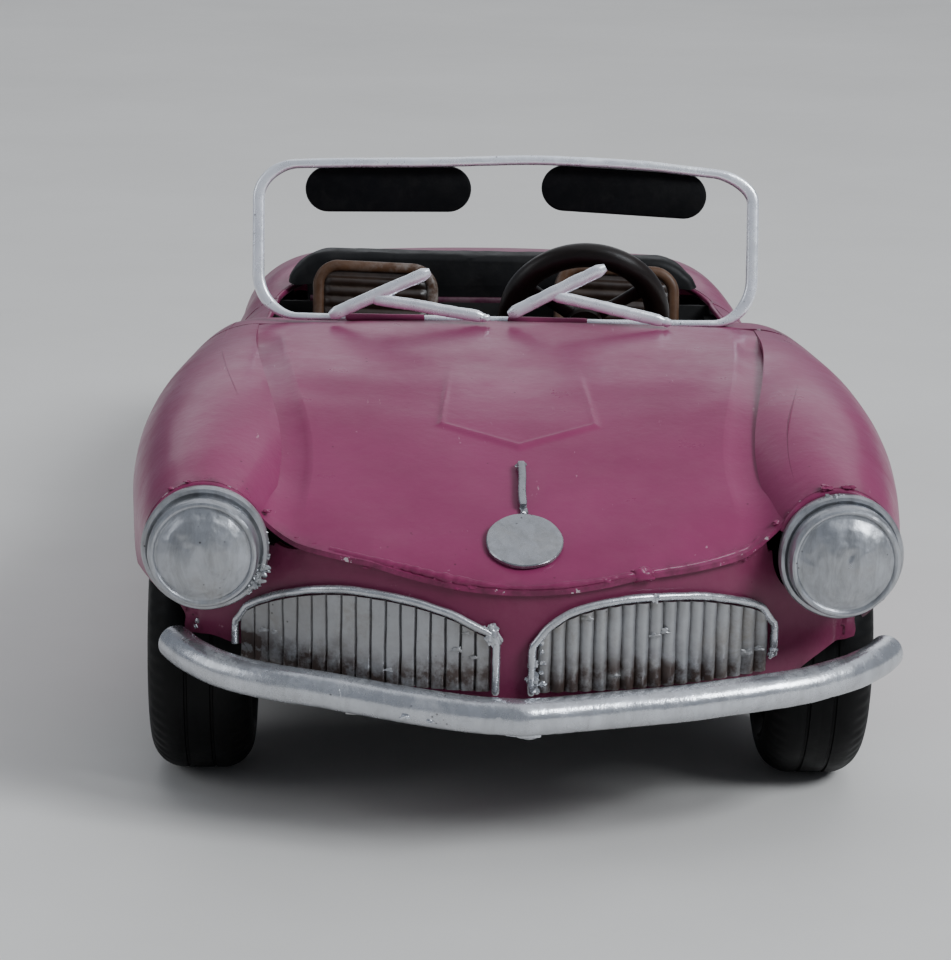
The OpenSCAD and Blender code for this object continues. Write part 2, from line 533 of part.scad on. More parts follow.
// A dished wheel with a raised cap, on the car's left
module hub(y, track) color(SILVER) at_shaft([y, axle_z]) translate([track / 2, 0, 0]) rotate([0, 90, 0]) difference() {
    rotate_extrude() polygon([[0, -5], [4, -5], [4, -2], [12, -2], [12, -6.5], [hub_r, -6.5], [hub_r, 6.5], [13, 7], [12, 5],
        [10.5, 3.6], [8.2, 3.2], [7.4, 4.6], [5.5, 5.9], [3, 6.5], [0, 6.7]]);
    translate([0, 0, -6]) cylinder(r = axle_r, h = 9);
}
module tyre(y, track) color(BLACK) {
    w = tyre_w / 2;
    r = 4.2;
    outline = concat([[hub_r, -w + 2], [hub_r + 2.5, -w]], arc([tyre_r - r, -w + r], r, -90, 0, 6), arc([tyre_r - r, w - r], r, 0, 90, 6), [[hub_r + 2.5, w], [hub_r, w - 2]]);
    at_shaft([y, axle_z]) translate([track / 2, 0, 0]) rotate([0, 90, 0]) rotate_extrude($fn = 72) polygon(outline);
}

// ---- friction motor: y and z of its shafts

axle_at = [rear_y, axle_z];
lay_at = axle_at + gear_m * (axle_teeth + pinion_teeth) / 2 * [-cos(30), sin(30)];
fly_at = lay_at + gear_m * (lay_teeth + pinion_teeth) / 2 * [-cos(40), sin(40)];
pin_r = 1;
plate_x = [-9, 13];                  // inner faces are at plate_x[0] + 1 and plate_x[1]
pillar_spots = [[rear_y + 11, 33], [rear_y - 26, 20], [rear_y - 5, 46]];

// Spur gear with involute teeth, a tooth centred on angle phase
pressure = 25;
module gear(teeth, width, bore, phase) {
    rp = gear_m * teeth / 2;
    rb = rp * cos(pressure);
    ra = rp + gear_m * 0.95;
    rf = rp - gear_m * 1.2;
    r0 = max(rb, rf);
    function inv(a) = tan(a) * 180 / PI - a;
    function flank(r) = 90 / teeth - 2.1 / rp + inv(pressure) - inv(acos(min(1, rb / r)));
    function on(r, a) = r * [cos(a), sin(a)];
    tooth = concat([[rf, -flank(r0)]], [for (r = steps(r0, ra, 4)) [r, -flank(r)]], [for (r = steps(ra, r0, 4)) [r, flank(r)]], [[rf, flank(r0)]]);
    difference() {
        linear_extrude(width) polygon([for (k = [0:teeth - 1]) each [for (q = tooth) on(q[0], q[1] + phase + k * 360 / teeth)]]);
        translate([0, 0, -1]) cylinder(r = bore, h = width + 2);
    }
}
// Gears are drawn with +Z along the car's X, so a direction in the plane of y and z has the angle turned(d)
module on_shaft(s, x) translate([x, s[0], s[1]]) rotate([0, 90, 0]) children();
function turned(d) = atan2(d[0], -d[1]);
function facing(d, teeth) = turned(d) + 180 + 180 / teeth;

module axle_gear() color(BRASS) on_shaft(axle_at, -1) gear(axle_teeth, 3.5, axle_r, turned(lay_at - axle_at));
module layshaft() color(STEEL) on_shaft(lay_at, plate_x[0] - 0.6) cylinder(r = pin_r, h = plate_x[1] - plate_x[0] + 2.2);
module layshaft_gear() color(BRASS) {
    on_shaft(lay_at, -1.5) gear(pinion_teeth, 4.5, pin_r, facing(lay_at - axle_at, pinion_teeth));
    on_shaft(lay_at, -4.5) gear(lay_teeth, 3, pin_r, turned(fly_at - lay_at));
}
module flywheel_shaft() color(STEEL) {
    on_shaft(fly_at, plate_x[0] - 0.6) cylinder(r = pin_r, h = plate_x[1] - plate_x[0] + 2.2);
    on_shaft(fly_at, -5) gear(pinion_teeth, 4, pin_r - 0.2, facing(fly_at - lay_at, pinion_teeth));
}
module flywheel() color(STEEL) on_shaft(fly_at, 4) difference() {
    union() {
        translate([0, 0, 1]) cylinder(r = flywheel_r, h = 6.5);
        cylinder(r = 3, h = 8.5);
    }
    translate([0, 0, -1]) cylinder(r = pin_r, h = 12);
}
module motor_plate(x) color(STEEL) translate([x, 0, 0]) difference() {
    rotate([90, 0, 90]) linear_extrude(1) hull() {
        for (p = pillar_spots) translate(p) circle(3.2, $fn = 24);
        translate(fly_at) circle(4.5, $fn = 24);
        translate([rear_y - 28, pan[0][2] + tin]) square([38, 3]);
    }
    for (s = [lay_at, fly_at]) at_shaft(s) along_x(-1, 2, pin_r + run);
    at_shaft(axle_at) along_x(-1, 2, axle_r + run);
    for (p = pillar_spots) at_shaft(p) along_x(-1, 2, 0.8);
}
module motor_pillars() color(STEEL) for (p = pillar_spots) at_shaft(p) {
    along_x(plate_x[0] + 1, plate_x[1], 1.5);
    along_x(plate_x[0] - 0.6, plate_x[1] + 1.6, 0.8);
}

// ---- the assembly

base_plate();
motor_pan();
bonnet();
nose_panel();
front_fender();  // front_fender_left
right() front_fender();  // front_fender_right
door();  // door_left
right() door();  // door_right
rear_fender();  // rear_fender_left
right() rear_fender();  // rear_fender_right
rear_deck();
tail_panel();
scuttle();
dashboard();
cockpit_tub();
hood_cover();
windscreen_frame();
sun_visor(20.4, -3);  // sun_visor_left
sun_visor(-20.9, 0.5);  // sun_visor_right
wiper([27.5, 65.7], [9.1, 70.7], [0.2, 66.4], [16.8, 75]);  // wiper_left
wiper([-3.9, 66.1], [-22.5, 70.6], [-30.8, 65.9], [-13.5, 73.9]);  // wiper_right
seat();  // seat_left
right() seat();  // seat_right
headlamp_bucket();  // headlamp_bucket_left
right() headlamp_bucket();  // headlamp_bucket_right
headlamp_lens();  // headlamp_lens_left
right() headlamp_lens();  // headlamp_lens_right
grille(GRILLE_LEFT);  // grille_left
right() grille(GRILLE_RIGHT);  // grille_right
grille_surround(GRILLE_LEFT);  // grille_surround_left
right() grille_surround(GRILLE_RIGHT);  // grille_surround_right
front_bumper();
front_bumper_brackets();
rear_bumper();
rear_bumper_brackets();
bonnet_badge();
badge_spear();
tail_lamps();
steering_column();
steering_wheel();
axle_brackets();
pan_screws();
motor_plate(plate_x[1]);  // motor_plate_left
motor_plate(plate_x[0]);  // motor_plate_right
motor_pillars();
layshaft();
layshaft_gear();
flywheel_shaft();
flywheel();
axle(front_y, front_track);  // front_axle
hub(front_y, front_track);  // front_hub_left
right() hub(front_y, front_track);  // front_hub_right
tyre(front_y, front_track);  // front_tyre_left
right() tyre(front_y, front_track);  // front_tyre_right
axle(rear_y, rear_track);  // rear_axle
hub(rear_y, rear_track);  // rear_hub_left
right() hub(rear_y, rear_track);  // rear_hub_right
tyre(rear_y, rear_track);  // rear_tyre_left
right() tyre(rear_y, rear_track);  // rear_tyre_right
axle_gear();
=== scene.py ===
"""The looks of the friction tin car, built in its CAD frame.

Lengths are millimetres until make() turns them into metres.
"""
import json
import math

import bmesh
import bpy
import numpy as np
from mathutils import Matrix, Vector, noise


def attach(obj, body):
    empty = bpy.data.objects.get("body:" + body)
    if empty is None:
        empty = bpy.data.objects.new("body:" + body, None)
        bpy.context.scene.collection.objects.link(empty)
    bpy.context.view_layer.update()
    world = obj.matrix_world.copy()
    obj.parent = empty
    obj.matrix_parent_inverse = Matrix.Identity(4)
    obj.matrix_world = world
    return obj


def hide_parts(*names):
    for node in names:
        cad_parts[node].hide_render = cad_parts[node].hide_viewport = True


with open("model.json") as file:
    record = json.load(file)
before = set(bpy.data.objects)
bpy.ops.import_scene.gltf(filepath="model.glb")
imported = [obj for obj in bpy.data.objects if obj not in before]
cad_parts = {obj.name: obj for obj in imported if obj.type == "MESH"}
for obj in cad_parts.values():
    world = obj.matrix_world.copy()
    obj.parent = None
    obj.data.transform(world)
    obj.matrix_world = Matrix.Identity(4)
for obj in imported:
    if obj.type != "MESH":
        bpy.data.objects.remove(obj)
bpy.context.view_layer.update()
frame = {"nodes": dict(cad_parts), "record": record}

TIN = 1.0
SEAM_GAP = 0.15
AXLE_Z = 23.0
FRONT_Y, REAR_Y = -95.0, 75.0
ARCH_R = 25.5
FENDER_Y0, COWL_Y, DOOR_Y1, DECK_Y0, TAIL_Y = -131.0, -49.0, 21.5, 33.5, 133.0
SILL_Z = 15.5
FRONT_END, REAR_END = -150.0, 150.0
LAMP_X, LAMP_Y, LAMP_Z = 48.0, -124.0, 46.1
LAMP_LIP_Z = 39.0
NOSE_Y, NOSE_HALF, NOSE_Z = -142.6, 50.0, 24.0
DOOR_TOP = 71.0
GRILLE_LOW = 27.0
FRONT_WHEEL_LEFT, FRONT_WHEEL_RIGHT, REAR_WHEEL = 48.8, 49.9, 42.5
RIM_REACH = 1.3
DENT_SCALE = 0.035
HEM_R, HEM_WEAR = 0.58, 0.55
# part.scad's tables. The shoulder is y, the middle's x and z, half width, half height and the angle it begins at,
# with the bonnet's edges a little further out than in part.scad.
SHOULDER = np.array([
    [-131, 48.0, 46.2, 9.6, 10.3, 160], [-118, 47.0, 46.8, 12.6, 12.6, 142], [-95, 45.0, 47.0, 16.7, 16.2, 110],
    [-70, 43.4, 46.6, 18.3, 17.9, 93], [-49, 43.0, 46.0, 16.0, 18.2, 90], [-38, 42.4, 45.3, 15.1, 17.9, 90],
    [-20, 41.2, 43.2, 13.0, 13.6, 90], [15, 38.6, 41.0, 13.6, 14.8, 90], [30, 37.2, 40.3, 14.8, 16.2, 90],
    [45, 35.2, 39.8, 15.7, 18.6, 90], [75, 33.0, 37.5, 18.7, 17.4, 90], [105, 31.5, 35.0, 19.5, 14.6, 90],
    [125, 30.0, 33.6, 19.4, 11.8, 90], [133, 29.0, 33.0, 18.6, 10.3, 90]])
# y and height along the bonnet's middle, then x and height along its seam
BONNET = [[-143.5, 42.9], [-133.5, 48.4], [-112, 56.3], [-95, 60.3], [-76, 62.8], [-49, 65.2]]
SEAM = [[-40, 50.6], [-39, 50.1], [-35.1, 48.1], [-29, 47.0], [-18.4, 45.8], [-9.5, 44.3], [-0.6, 43.5], [8.4, 44.1],
        [17.4, 45.1], [26.7, 45.8], [34.6, 47.2], [38.6, 49.4], [40, 50.4]]
# each half of a bumper: distance from the middle, distance inwards from its outermost y, height
FRONT_BUMPER_LEFT = [[0, 2.85, 24.6], [7, 4.7, 24.6], [14.5, 6.6, 24.8], [24, 8.7, 25.2], [30, 10.4, 25.5],
                     [38, 12.9, 25.9], [44, 15.4, 26.2], [48, 17.9, 26.5], [51, 20.2, 26.7], [54, 23.2, 27],
                     [56.6, 26.8, 27.2], [58.2, 30, 27.4]]
FRONT_BUMPER_RIGHT = [[0, 2.85, 24.6], [7, 4.5, 24.5], [14.5, 6.8, 24.8], [24, 9.6, 25.5], [30, 11.6, 25.9],
                      [39, 14.6, 26.4], [45, 18, 26.9], [48.5, 21.4, 27.3], [51, 24.8, 27.6], [53.5, 29.6, 28]]
REAR_BUMPER = [[0, 2.85, 24], [14, 3.2, 24], [28, 4.6, 24], [40, 7.2, 24], [48, 10.6, 24], [54, 14.6, 24]]
# distance from the middle and height along the top of each grille
GRILLE_LEFT = [[2.4, 34.6], [3.8, 36.4], [7, 38.6], [12.5, 40.1], [19, 40.5], [26.5, 39.9], [32, 38.5], [36.4, 36.7],
               [37.8, 34.6]]
GRILLE_RIGHT = [[4.8, 35.4], [6.4, 36.1], [10.5, 38.1], [15.8, 39.6], [21, 40.3], [27, 40.3], [32.6, 39.2],
                [37.6, 37.3], [41.4, 35], [42.2, 33.4]]
MIRROR = np.array([-1.0, 1.0, 1.0])


# ---- curves and the body's surface

def curve(table, column, s):
    """Column of the table at s, on a smooth curve through its rows, straight beyond its ends."""
    t = np.asarray(table, float)
    s = np.asarray(s, float)
    x, p = t[:, 0], t[:, column]
    n = len(x)
    before, after = np.maximum(np.arange(n) - 1, 0), np.minimum(np.arange(n) + 1, n - 1)
    m = (p[after] - p[before]) / (x[after] - x[before])
    i = np.clip(np.searchsorted(x, s, side="right") - 1, 0, n - 2)
    h = x[i + 1] - x[i]
    u = (s - x[i]) / h
    inside = ((2 * u ** 3 - 3 * u ** 2 + 1) * p[i] + (u ** 3 - 2 * u ** 2 + u) * m[i] * h
              + (3 * u ** 2 - 2 * u ** 3) * p[i + 1] + (u ** 3 - u ** 2) * m[i + 1] * h)
    return np.where(u < 0, p[i] + m[i] * h * u, np.where(u > 1, p[i + 1] + m[i + 1] * h * (u - 1), inside))


def smooth(u):
    u = np.clip(u, 0, 1)
    return u * u * (3 - 2 * u)


def mid_x(y): return curve(SHOULDER, 1, y)
def mid_z(y): return curve(SHOULDER, 2, y)
def half_w(y): return curve(SHOULDER, 3, y)
def half_h(y): return curve(SHOULDER, 4, y)
def begin(y): return curve(SHOULDER, 5, y)
def crease_x(y): return mid_x(y) + half_w(y) * np.cos(np.radians(begin(y)))
def crease_z(y): return mid_z(y) + half_h(y) * np.sin(np.radians(begin(y)))


def shoulder(y, angle, d=0.0):
    y, angle = np.broadcast_arrays(np.asarray(y, float), np.radians(angle))
    a, b = half_w(y), half_h(y)
    nx, nz = np.cos(angle) / a, np.sin(angle) / b
    k = np.hypot(nx, nz)
    return np.stack([mid_x(y) + a * np.cos(angle) - d * nx / k, y, mid_z(y) + b * np.sin(angle) - d * nz / k], -1)


def side(y, z, d=0.0):
    y, z = np.broadcast_arrays(np.asarray(y, float), np.asarray(z, float))
    m = mid_z(y)
    f = (m - z) / (m - SILL_Z)
    w = np.clip((m - z) / half_h(y), 0, 0.95)
    k = np.sqrt(1 - w ** 2)
    q = np.clip((-112 - y) / 19, 0, 1) * half_w(y)
    slope = -q * w / k / half_h(y)
    r = np.hypot(1, slope)
    tuck = np.where(y < FRONT_Y, 0.0, 4.0)
    return np.stack([mid_x(y) + half_w(y) - q * (1 - k) - tuck * f ** 2 - d / r, y, z - d * slope / r], -1)


def columns(y, top, low, n, d=0.0):
    """A side panel: one column for each y, from an angle on the shoulder down to a height."""
    y, top, low = [np.broadcast_to(np.asarray(v, float), np.shape(y))[:, None] for v in (y, top, low)]
    a, b, m = half_w(y), half_h(y), mid_z(y)
    s = (low - m) / b
    last = np.where(s <= 0, 0, np.degrees(np.arcsin(np.clip(s, -1, 1))))
    per = (a + b) / 2 * math.pi / 180
    arc = (top - last) * per
    w = np.linspace(0, 1, n + 1)[None] * (arc + np.maximum(0, m - low))
    return np.where((w <= arc)[..., None], shoulder(y, top - w / per, d), side(y, m - (w - arc), d))


def top_z(y, x):
    m, e = mid_x(y), mid_z(y) + half_h(y)
    u = np.abs(x) / m
    fall = np.clip((np.abs(x) - m) / half_w(y), 0, 1)
    return np.where(u <= 1, e + np.where(y < 0, 0, 1) * (1 - u ** 2), mid_z(y) + half_h(y) * np.sqrt(1 - fall ** 2))


def arch_edge(y, centre, low_a, low_b):
    base = np.where(y < centre, low_a, low_b)
    inside = np.abs(y - centre) < ARCH_R
    return np.where(inside, np.maximum(base, AXLE_Z + np.sqrt(np.maximum(0, ARCH_R ** 2 - (y - centre) ** 2))), base)


def arch_stations(centre, a, b, n):
    return centre - ARCH_R * np.cos(np.radians(np.linspace(a, b, n)))


def nose_plan(x):
    a = np.abs(x)
    e = np.clip((a - NOSE_HALF + 5) / 5, 0, 1)
    return NOSE_Y + 12 * (np.minimum(a, 37) / 37) ** 2 + 0.65 * np.maximum(0, a - 37) + 1 - np.sqrt(1 - e ** 2)


def on_nose(x, z, d=0.0):
    x, z = np.broadcast_arrays(np.asarray(x, float), np.asarray(z, float))
    h = 0.02
    a, b = np.minimum(x + h, NOSE_HALF), np.maximum(x - h, -NOSE_HALF)
    dy = nose_plan(a) - nose_plan(b)
    k = np.hypot(2 * h, dy)
    return np.stack([x - d * dy / k, nose_plan(x) + 0.08 * np.maximum(0, 43 - z) + d * 2 * h / k, z], -1)


def bonnet_z(y, v):
    e = crease_z(np.maximum(y, FENDER_Y0)) + 0.25 * np.minimum(0, y - FENDER_Y0)
    m = curve(BONNET, 1, y)
    return m + (e - m) * v ** 2


# ---- meshes: each is (points, faces), joined before it is made into a piece

def grid(points, closed_rows=False, closed_columns=False):
    r, c = points.shape[:2]
    faces = [(i * c + j, (i + 1) % r * c + j, (i + 1) % r * c + (j + 1) % c, i * c + (j + 1) % c)
             for i in range(r if closed_rows else r - 1) for j in range(c if closed_columns else c - 1)]
    return points.reshape(-1, 3), faces


def sheet(outer, inner):
    """A closed sheet between two grids."""
    r, c = outer.shape[:2]
    faces = grid(outer)[1]
    n = r * c
    faces += [tuple(n + k for k in reversed(f)) for f in faces]
    rim = ([(0, j) for j in range(c)] + [(i, c - 1) for i in range(1, r)]
           + [(r - 1, j) for j in range(c - 2, -1, -1)] + [(i, 0) for i in range(r - 2, 0, -1)])
    at = [i * c + j for i, j in rim]
    faces += [(at[k - 1], at[k], n + at[k], n + at[k - 1]) for k in range(len(at))]
    return np.concatenate([outer.reshape(-1, 3), inner.reshape(-1, 3)]), faces


def rim_of(outer, clean=()):
    """1 on a grid's border, falling off inwards, for both sides of its sheet. Borders named in clean have none."""
    def run(p):
        step = np.linalg.norm(np.diff(p, axis=0), axis=2)
        return np.concatenate([np.zeros((1, p.shape[1])), np.cumsum(step, axis=0)])
    along, across = run(outer), run(outer.transpose(1, 0, 2)).T
    borders = {"first_row": along, "last_row": along[-1] - along,
               "first_column": across, "last_column": across[:, -1:] - across}
    d = np.min([b for k, b in borders.items() if k not in clean], axis=0)
    v = np.exp(-d / RIM_REACH).reshape(-1)
    return np.concatenate([v, v])


def join(parts):
    points, faces, n = [], [], 0
    for p, f in parts:
        points.append(p)
        faces += [tuple(n + k for k in face) for face in f]
        n += len(p)
    return np.concatenate(points), faces


def ring_section(rx, ry=None, sides=16, power=2.0):
    """A closed section: a circle, an ellipse or, with a higher power, a rounded rectangle."""
    a = np.linspace(0, 2 * math.pi, sides, endpoint=False)
    c, s = np.cos(a), np.sin(a)
    q = 2 / power
    return np.stack([rx * np.sign(c) * np.abs(c) ** q, (ry or rx) * np.sign(s) * np.abs(s) ** q], -1)


def sweep(path, section, up=(0, 0, 1), closed=False, swell=None):
    """A tube along a path; swell scales the section at each point."""
    path = np.asarray(path, float)
    n = len(path)
    i = np.arange(n)
    ahead = path[(i + 1) % n] if closed else path[np.minimum(i + 1, n - 1)]
    behind = path[(i - 1) % n] if closed else path[np.maximum(i - 1, 0)]
    t = ahead - behind
    t /= np.linalg.norm(t, axis=1)[:, None]
    s = np.cross(t, np.asarray(up, float))
    s /= np.linalg.norm(s, axis=1)[:, None]
    u = np.cross(s, t)
    k = np.ones(n) if swell is None else np.asarray(swell)
    k = np.stack([k, k], -1) if k.ndim == 1 else k
    p = (path[:, None] + s[:, None] * section[None, :, :1] * k[:, None, :1]
         + u[:, None] * section[None, :, 1:] * k[:, None, 1:])
    points, faces = grid(p, closed_rows=closed, closed_columns=True)
    if not closed:
        m = len(section)
        faces += [tuple(range(m - 1, -1, -1)), tuple((n - 1) * m + j for j in range(m))]
    return points, faces


def lathe(profile, centre, axis, sides=72, warp=None):
    """A closed profile of (radius, distance along the axis), turned about the axis; warp(angle, r, h) changes both."""
    axis = np.asarray(axis, float)
    axis /= np.linalg.norm(axis)
    other = np.array([1.0, 0, 0]) if abs(axis[0]) < 0.9 else np.array([0, 0, 1.0])
    e1 = np.cross(axis, other)
    e1 /= np.linalg.norm(e1)
    e2 = np.cross(axis, e1)
    a = np.linspace(0, 2 * math.pi, sides, endpoint=False)
    prof = np.asarray(profile, float)
    r, h = prof[None, :, 0] + 0 * a[:, None], prof[None, :, 1] + 0 * a[:, None]
    if warp:
        r, h = warp(a, r, h)
    p = (np.asarray(centre, float) + r[..., None] * (np.cos(a)[:, None, None] * e1 + np.sin(a)[:, None, None] * e2)
         + h[..., None] * axis)
    return grid(p, closed_rows=True, closed_columns=True)


def blob(centre, size, seed, bumpy=0.25):
    """A lump of solder or paint."""
    a = np.linspace(0, math.pi, 12)
    points, faces = lathe(np.stack([np.sin(a), -np.cos(a)], -1), (0, 0, 0), (0, 0, 1), 18)
    k = np.array([1 + bumpy * noise.noise(Vector(q) * 1.6 + Vector((seed, 0, 0))) * 2 for q in points])
    return points * k[:, None] * np.asarray(size, float) + np.asarray(centre, float), faces


def smooth_profile(points, each=5):
    """A profile with its corners kept and its spans drawn finer."""
    p = np.asarray(points, float)
    return np.concatenate([np.linspace(p[i], p[i + 1], each, endpoint=False) for i in range(len(p) - 1)] + [p[-1:]])


def uneven(points, scale, seed, octaves=2):
    """Noise from -1 to 1 at each point, with features of about 1 / scale millimetres."""
    shift = Vector((seed * 7.31, seed * 3.7, seed * 1.9))
    flat = points.reshape(-1, 3)
    v = np.array([noise.fractal(Vector(q) * scale + shift, 1.0, 2.0, octaves) for q in flat])
    return v.reshape(points.shape[:-1])


def wobble(points, amount, scale, seed):
    """Points pushed a little every way, by noise that differs along x, y and z."""
    return points + amount * np.stack([uneven(points, scale, seed + k) for k in range(3)], -1)


def patchy(points, amount, scale, seed, top):
    """Wear in patches, as a rim value from 0 to top."""
    return np.clip(amount * uneven(points, scale, seed), 0, top)


def about_x(a):
    return np.array([[1, 0, 0], [0, math.cos(a), -math.sin(a)], [0, math.sin(a), math.cos(a)]])


def make(name, mesh, material, body="car", replaces=(), rim=None, sharp=40, flip=False):
    """A visible piece. rim is its wear, one value or one for each point, and also painted shade on the grilles and a
    painted highlight on the seat piping; flip mirrors it to the car's right.
    """
    points, faces = mesh
    if flip:
        points = points * MIRROR
    data = bpy.data.meshes.new(name)
    data.from_pydata([tuple(p) for p in points * 0.001], [], faces)
    if rim is not None:
        layer = data.attributes.new("rim", "FLOAT", "POINT")
        layer.data.foreach_set("value", np.ascontiguousarray(np.broadcast_to(rim, len(points)), dtype=np.float32))
    bm = bmesh.new()
    bm.from_mesh(data)
    bmesh.ops.remove_doubles(bm, verts=bm.verts, dist=2e-7)
    bmesh.ops.dissolve_degenerate(bm, edges=bm.edges, dist=1e-8)
    bmesh.ops.recalc_face_normals(bm, faces=bm.faces)
    bm.to_mesh(data)
    bm.free()
    data.shade_smooth()
    data.set_sharp_from_angle(angle=math.radians(sharp))
    o = bpy.data.objects.new(name, data)
    bpy.context.scene.collection.objects.link(o)
    data.materials.append(material)
    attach(o, body)
    if replaces:
        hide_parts(*replaces)


# ---- materials

class Shader:
    """A material's nodes. Textures use object coordinates, so a scale of 100 gives features of about 10 mm."""

    def __init__(self, name, **sockets):
        self.material = bpy.data.materials.new(name)
        self.material.use_nodes = True
        self.tree = self.material.node_tree
        self.bsdf = self.tree.nodes["Principled BSDF"]
        for key, value in sockets.items():
            self.set(self.bsdf, key.replace("_", " "), value)
        self.place = self.add("TexCoord").outputs["Object"]

    def set(self, node, key, value):
        socket = node.inputs[key]
        if isinstance(value, bpy.types.NodeSocket):
            self.tree.links.new(value, socket)
        elif isinstance(value, tuple) and len(value) == 3 and socket.type == "RGBA":
            socket.default_value = (*value, 1)
        else:
            socket.default_value = value

    def add(self, kind, **sockets):
        node = self.tree.nodes.new("ShaderNode" + kind)
        for key, value in sockets.items():
            self.set(node, key.replace("_", " "), value)
        return node

    def stretched(self, scale):
        return self.add("Mapping", Vector=self.place, Scale=scale).outputs["Vector"]

    def noise(self, scale, detail=4.0, roughness=0.55, distortion=0.0, at=None):
        return self.add("TexNoise", Vector=at or self.place, Scale=scale, Detail=detail, Roughness=roughness,
                        Distortion=distortion).outputs[0]

    def cells(self, scale):
        return self.add("TexVoronoi", Vector=self.place, Scale=scale).outputs["Distance"]

    def span(self, value, low, high, a=0.0, b=1.0):
        node = self.add("MapRange", Value=value, From_Min=low, From_Max=high, To_Min=a, To_Max=b)
        return node.outputs["Result"]

    def math(self, what, a, b):
        node = self.tree.nodes.new("ShaderNodeMath")
        node.operation = what
        self.set(node, 0, a)
        self.set(node, 1, b)
        return node.outputs[0]

    def times(self, a, b):
        return self.math("MULTIPLY", a, b)

    def plus(self, a, b):
        return self.math("ADD", a, b)

    def mix(self, fac, a, b):
        node = self.tree.nodes.new("ShaderNodeMix")
        node.data_type = "RGBA"
        self.set(node, 0, fac)
        for at, value in ((6, a), (7, b)):
            self.set(node, at, value)
        return node.outputs[2]

    def rim(self):
        node = self.tree.nodes.new("ShaderNodeAttribute")
        node.attribute_name = "rim"
        return node.outputs["Fac"]

    def bump(self, height, depth, strength, under=None):
        node = self.add("Bump", Height=height, Distance=depth, Strength=strength)
        if under is not None:
            self.set(node, "Normal", under)
        return node.outputs["Normal"]

    def finish(self, colour, roughness, normal, metallic=None):
        self.set(self.bsdf, "Base Color", colour)
        self.set(self.bsdf, "Roughness", roughness)
        self.set(self.bsdf, "Normal", normal)
        if metallic is not None:
            self.set(self.bsdf, "Metallic", metallic)
        return self.material


def enamel(name, shade=1.0):
    s = Shader(name, Coat_Weight=0.10, Coat_Roughness=0.14, Specular_IOR_Level=0.19)
    cloud = s.noise(38, 5, 0.6)
    # a shade below 1 darkens the paint's colours: painted shade
    deep, light = (0.200 * shade, 0.022, 0.080 * shade), (0.246 * shade, 0.034, 0.106 * shade)
    colour = s.mix(s.span(cloud, 0.3, 0.7), deep, light)
    dust = s.times(s.span(s.noise(160, 6, 0.7), 0.45, 0.75), 0.16)
    colour = s.mix(dust, colour, (0.26, 0.09, 0.135))
    # dark specks of dirt
    speck = s.times(s.span(s.cells(420), 0.10, 0.05), s.span(s.noise(75, 3), 0.56, 0.66))
    colour = s.mix(s.times(speck, 0.75), colour, (0.045, 0.012, 0.02))
    # fine light scratches, mostly along the car
    scratch = s.noise(1.0, 3, 0.6, 0.3, at=s.stretched((950, 110, 950)))
    scratch = s.times(s.span(scratch, 0.70, 0.76), s.span(s.noise(60, 2), 0.5, 0.6))
    colour = s.mix(s.times(scratch, 0.55), colour, (0.50, 0.30, 0.36))
    # worn and dirty along the edges of the panels
    rim = s.rim()
    grime = s.times(rim, s.span(s.noise(220, 5, 0.7), 0.4, 0.62))
    colour = s.mix(s.times(grime, 0.6), colour, (0.05, 0.014, 0.024))
    chip = s.span(s.plus(s.times(rim, 0.30), s.noise(330, 5, 0.75)), 0.90, 0.93)
    colour = s.mix(chip, colour, (0.50, 0.42, 0.44))
    rough = s.span(s.plus(s.noise(90, 5, 0.65), s.times(speck, 0.4)), 0.3, 0.75, 0.26, 0.46)
    height = s.plus(s.noise(700, 3), s.times(s.noise(140, 4, 0.6), 2.2))
    normal = s.bump(s.math("SUBTRACT", height, s.times(chip, 1.5)), 0.00012, 0.35)
    return s.finish(colour, rough, normal)


def silver(name, dirt, tone, rough, film=0.0, metal=(0.85, 0.25), strokes=0.0):
    """Aluminium paint. metal is how metallic it is where clean and where dirty; film and strokes are 0 for none."""
    s = Shader(name, Coat_Weight=0.10, Coat_Roughness=0.25)
    cloud = s.noise(130, 6, 0.7)
    deep, light = (tone * 0.91, tone * 0.94, tone), (tone * 1.06, tone * 1.09, tone * 1.16)
    colour = s.mix(s.span(cloud, 0.3, 0.7), deep, light)
    if strokes:
        stroke = s.noise(1.0, 5, 0.75, 0.5, at=s.stretched((420, 420, 120)))
        colour = s.mix(s.span(stroke, 0.42, 0.66, 0.0, strokes), colour, (tone * 0.60, tone * 0.61, tone * 0.62))
    stain = s.span(s.noise(85, 6, 0.75, 0.4), 0.50, 0.72)
    colour = s.mix(s.times(stain, dirt), colour, (0.20, 0.165, 0.115))
    if film:
        veil = s.span(s.noise(48, 6, 0.7, 0.3), 0.30, 0.68, film * 0.35, film)
        colour = s.mix(veil, colour, (0.150, 0.135, 0.112))
    speck = s.times(s.span(s.cells(620), 0.13, 0.06), s.span(s.noise(120, 3), 0.52, 0.62))
    colour = s.mix(s.times(speck, 0.8), colour, (0.04, 0.03, 0.028))
    # rim darkens: wear, and on the grilles also painted shade in the grooves and a painted shadow in one gap
    rim = s.rim()
    grime = s.times(rim, s.span(s.noise(260, 5, 0.7), 0.36, 0.58))
    colour = s.mix(grime, colour, (0.055, 0.036, 0.030))
    roughness = s.span(s.noise(210, 6, 0.7), 0.3, 0.7, rough - 0.07, rough + 0.12)
    brush = s.noise(1.0, 4, 0.6, 0.2, at=s.stretched((900, 900, 260)))
    height = s.plus(s.times(brush, 0.8), s.times(s.noise(330, 4, 0.65), 0.5))
    pits = s.span(s.cells(240), 0.16, 0.05, 0.0, -0.9)
    height = s.plus(height, s.times(pits, s.span(s.noise(45, 2), 0.55, 0.65)))
    grain = s.bump(s.noise(1500, 3, 0.7), 0.00008, 0.25, under=s.bump(height, 0.00018, 0.40))
    shine = s.span(s.plus(stain, grime), 0.0, 1.2, *metal)
    return s.finish(colour, roughness, grain, shine)


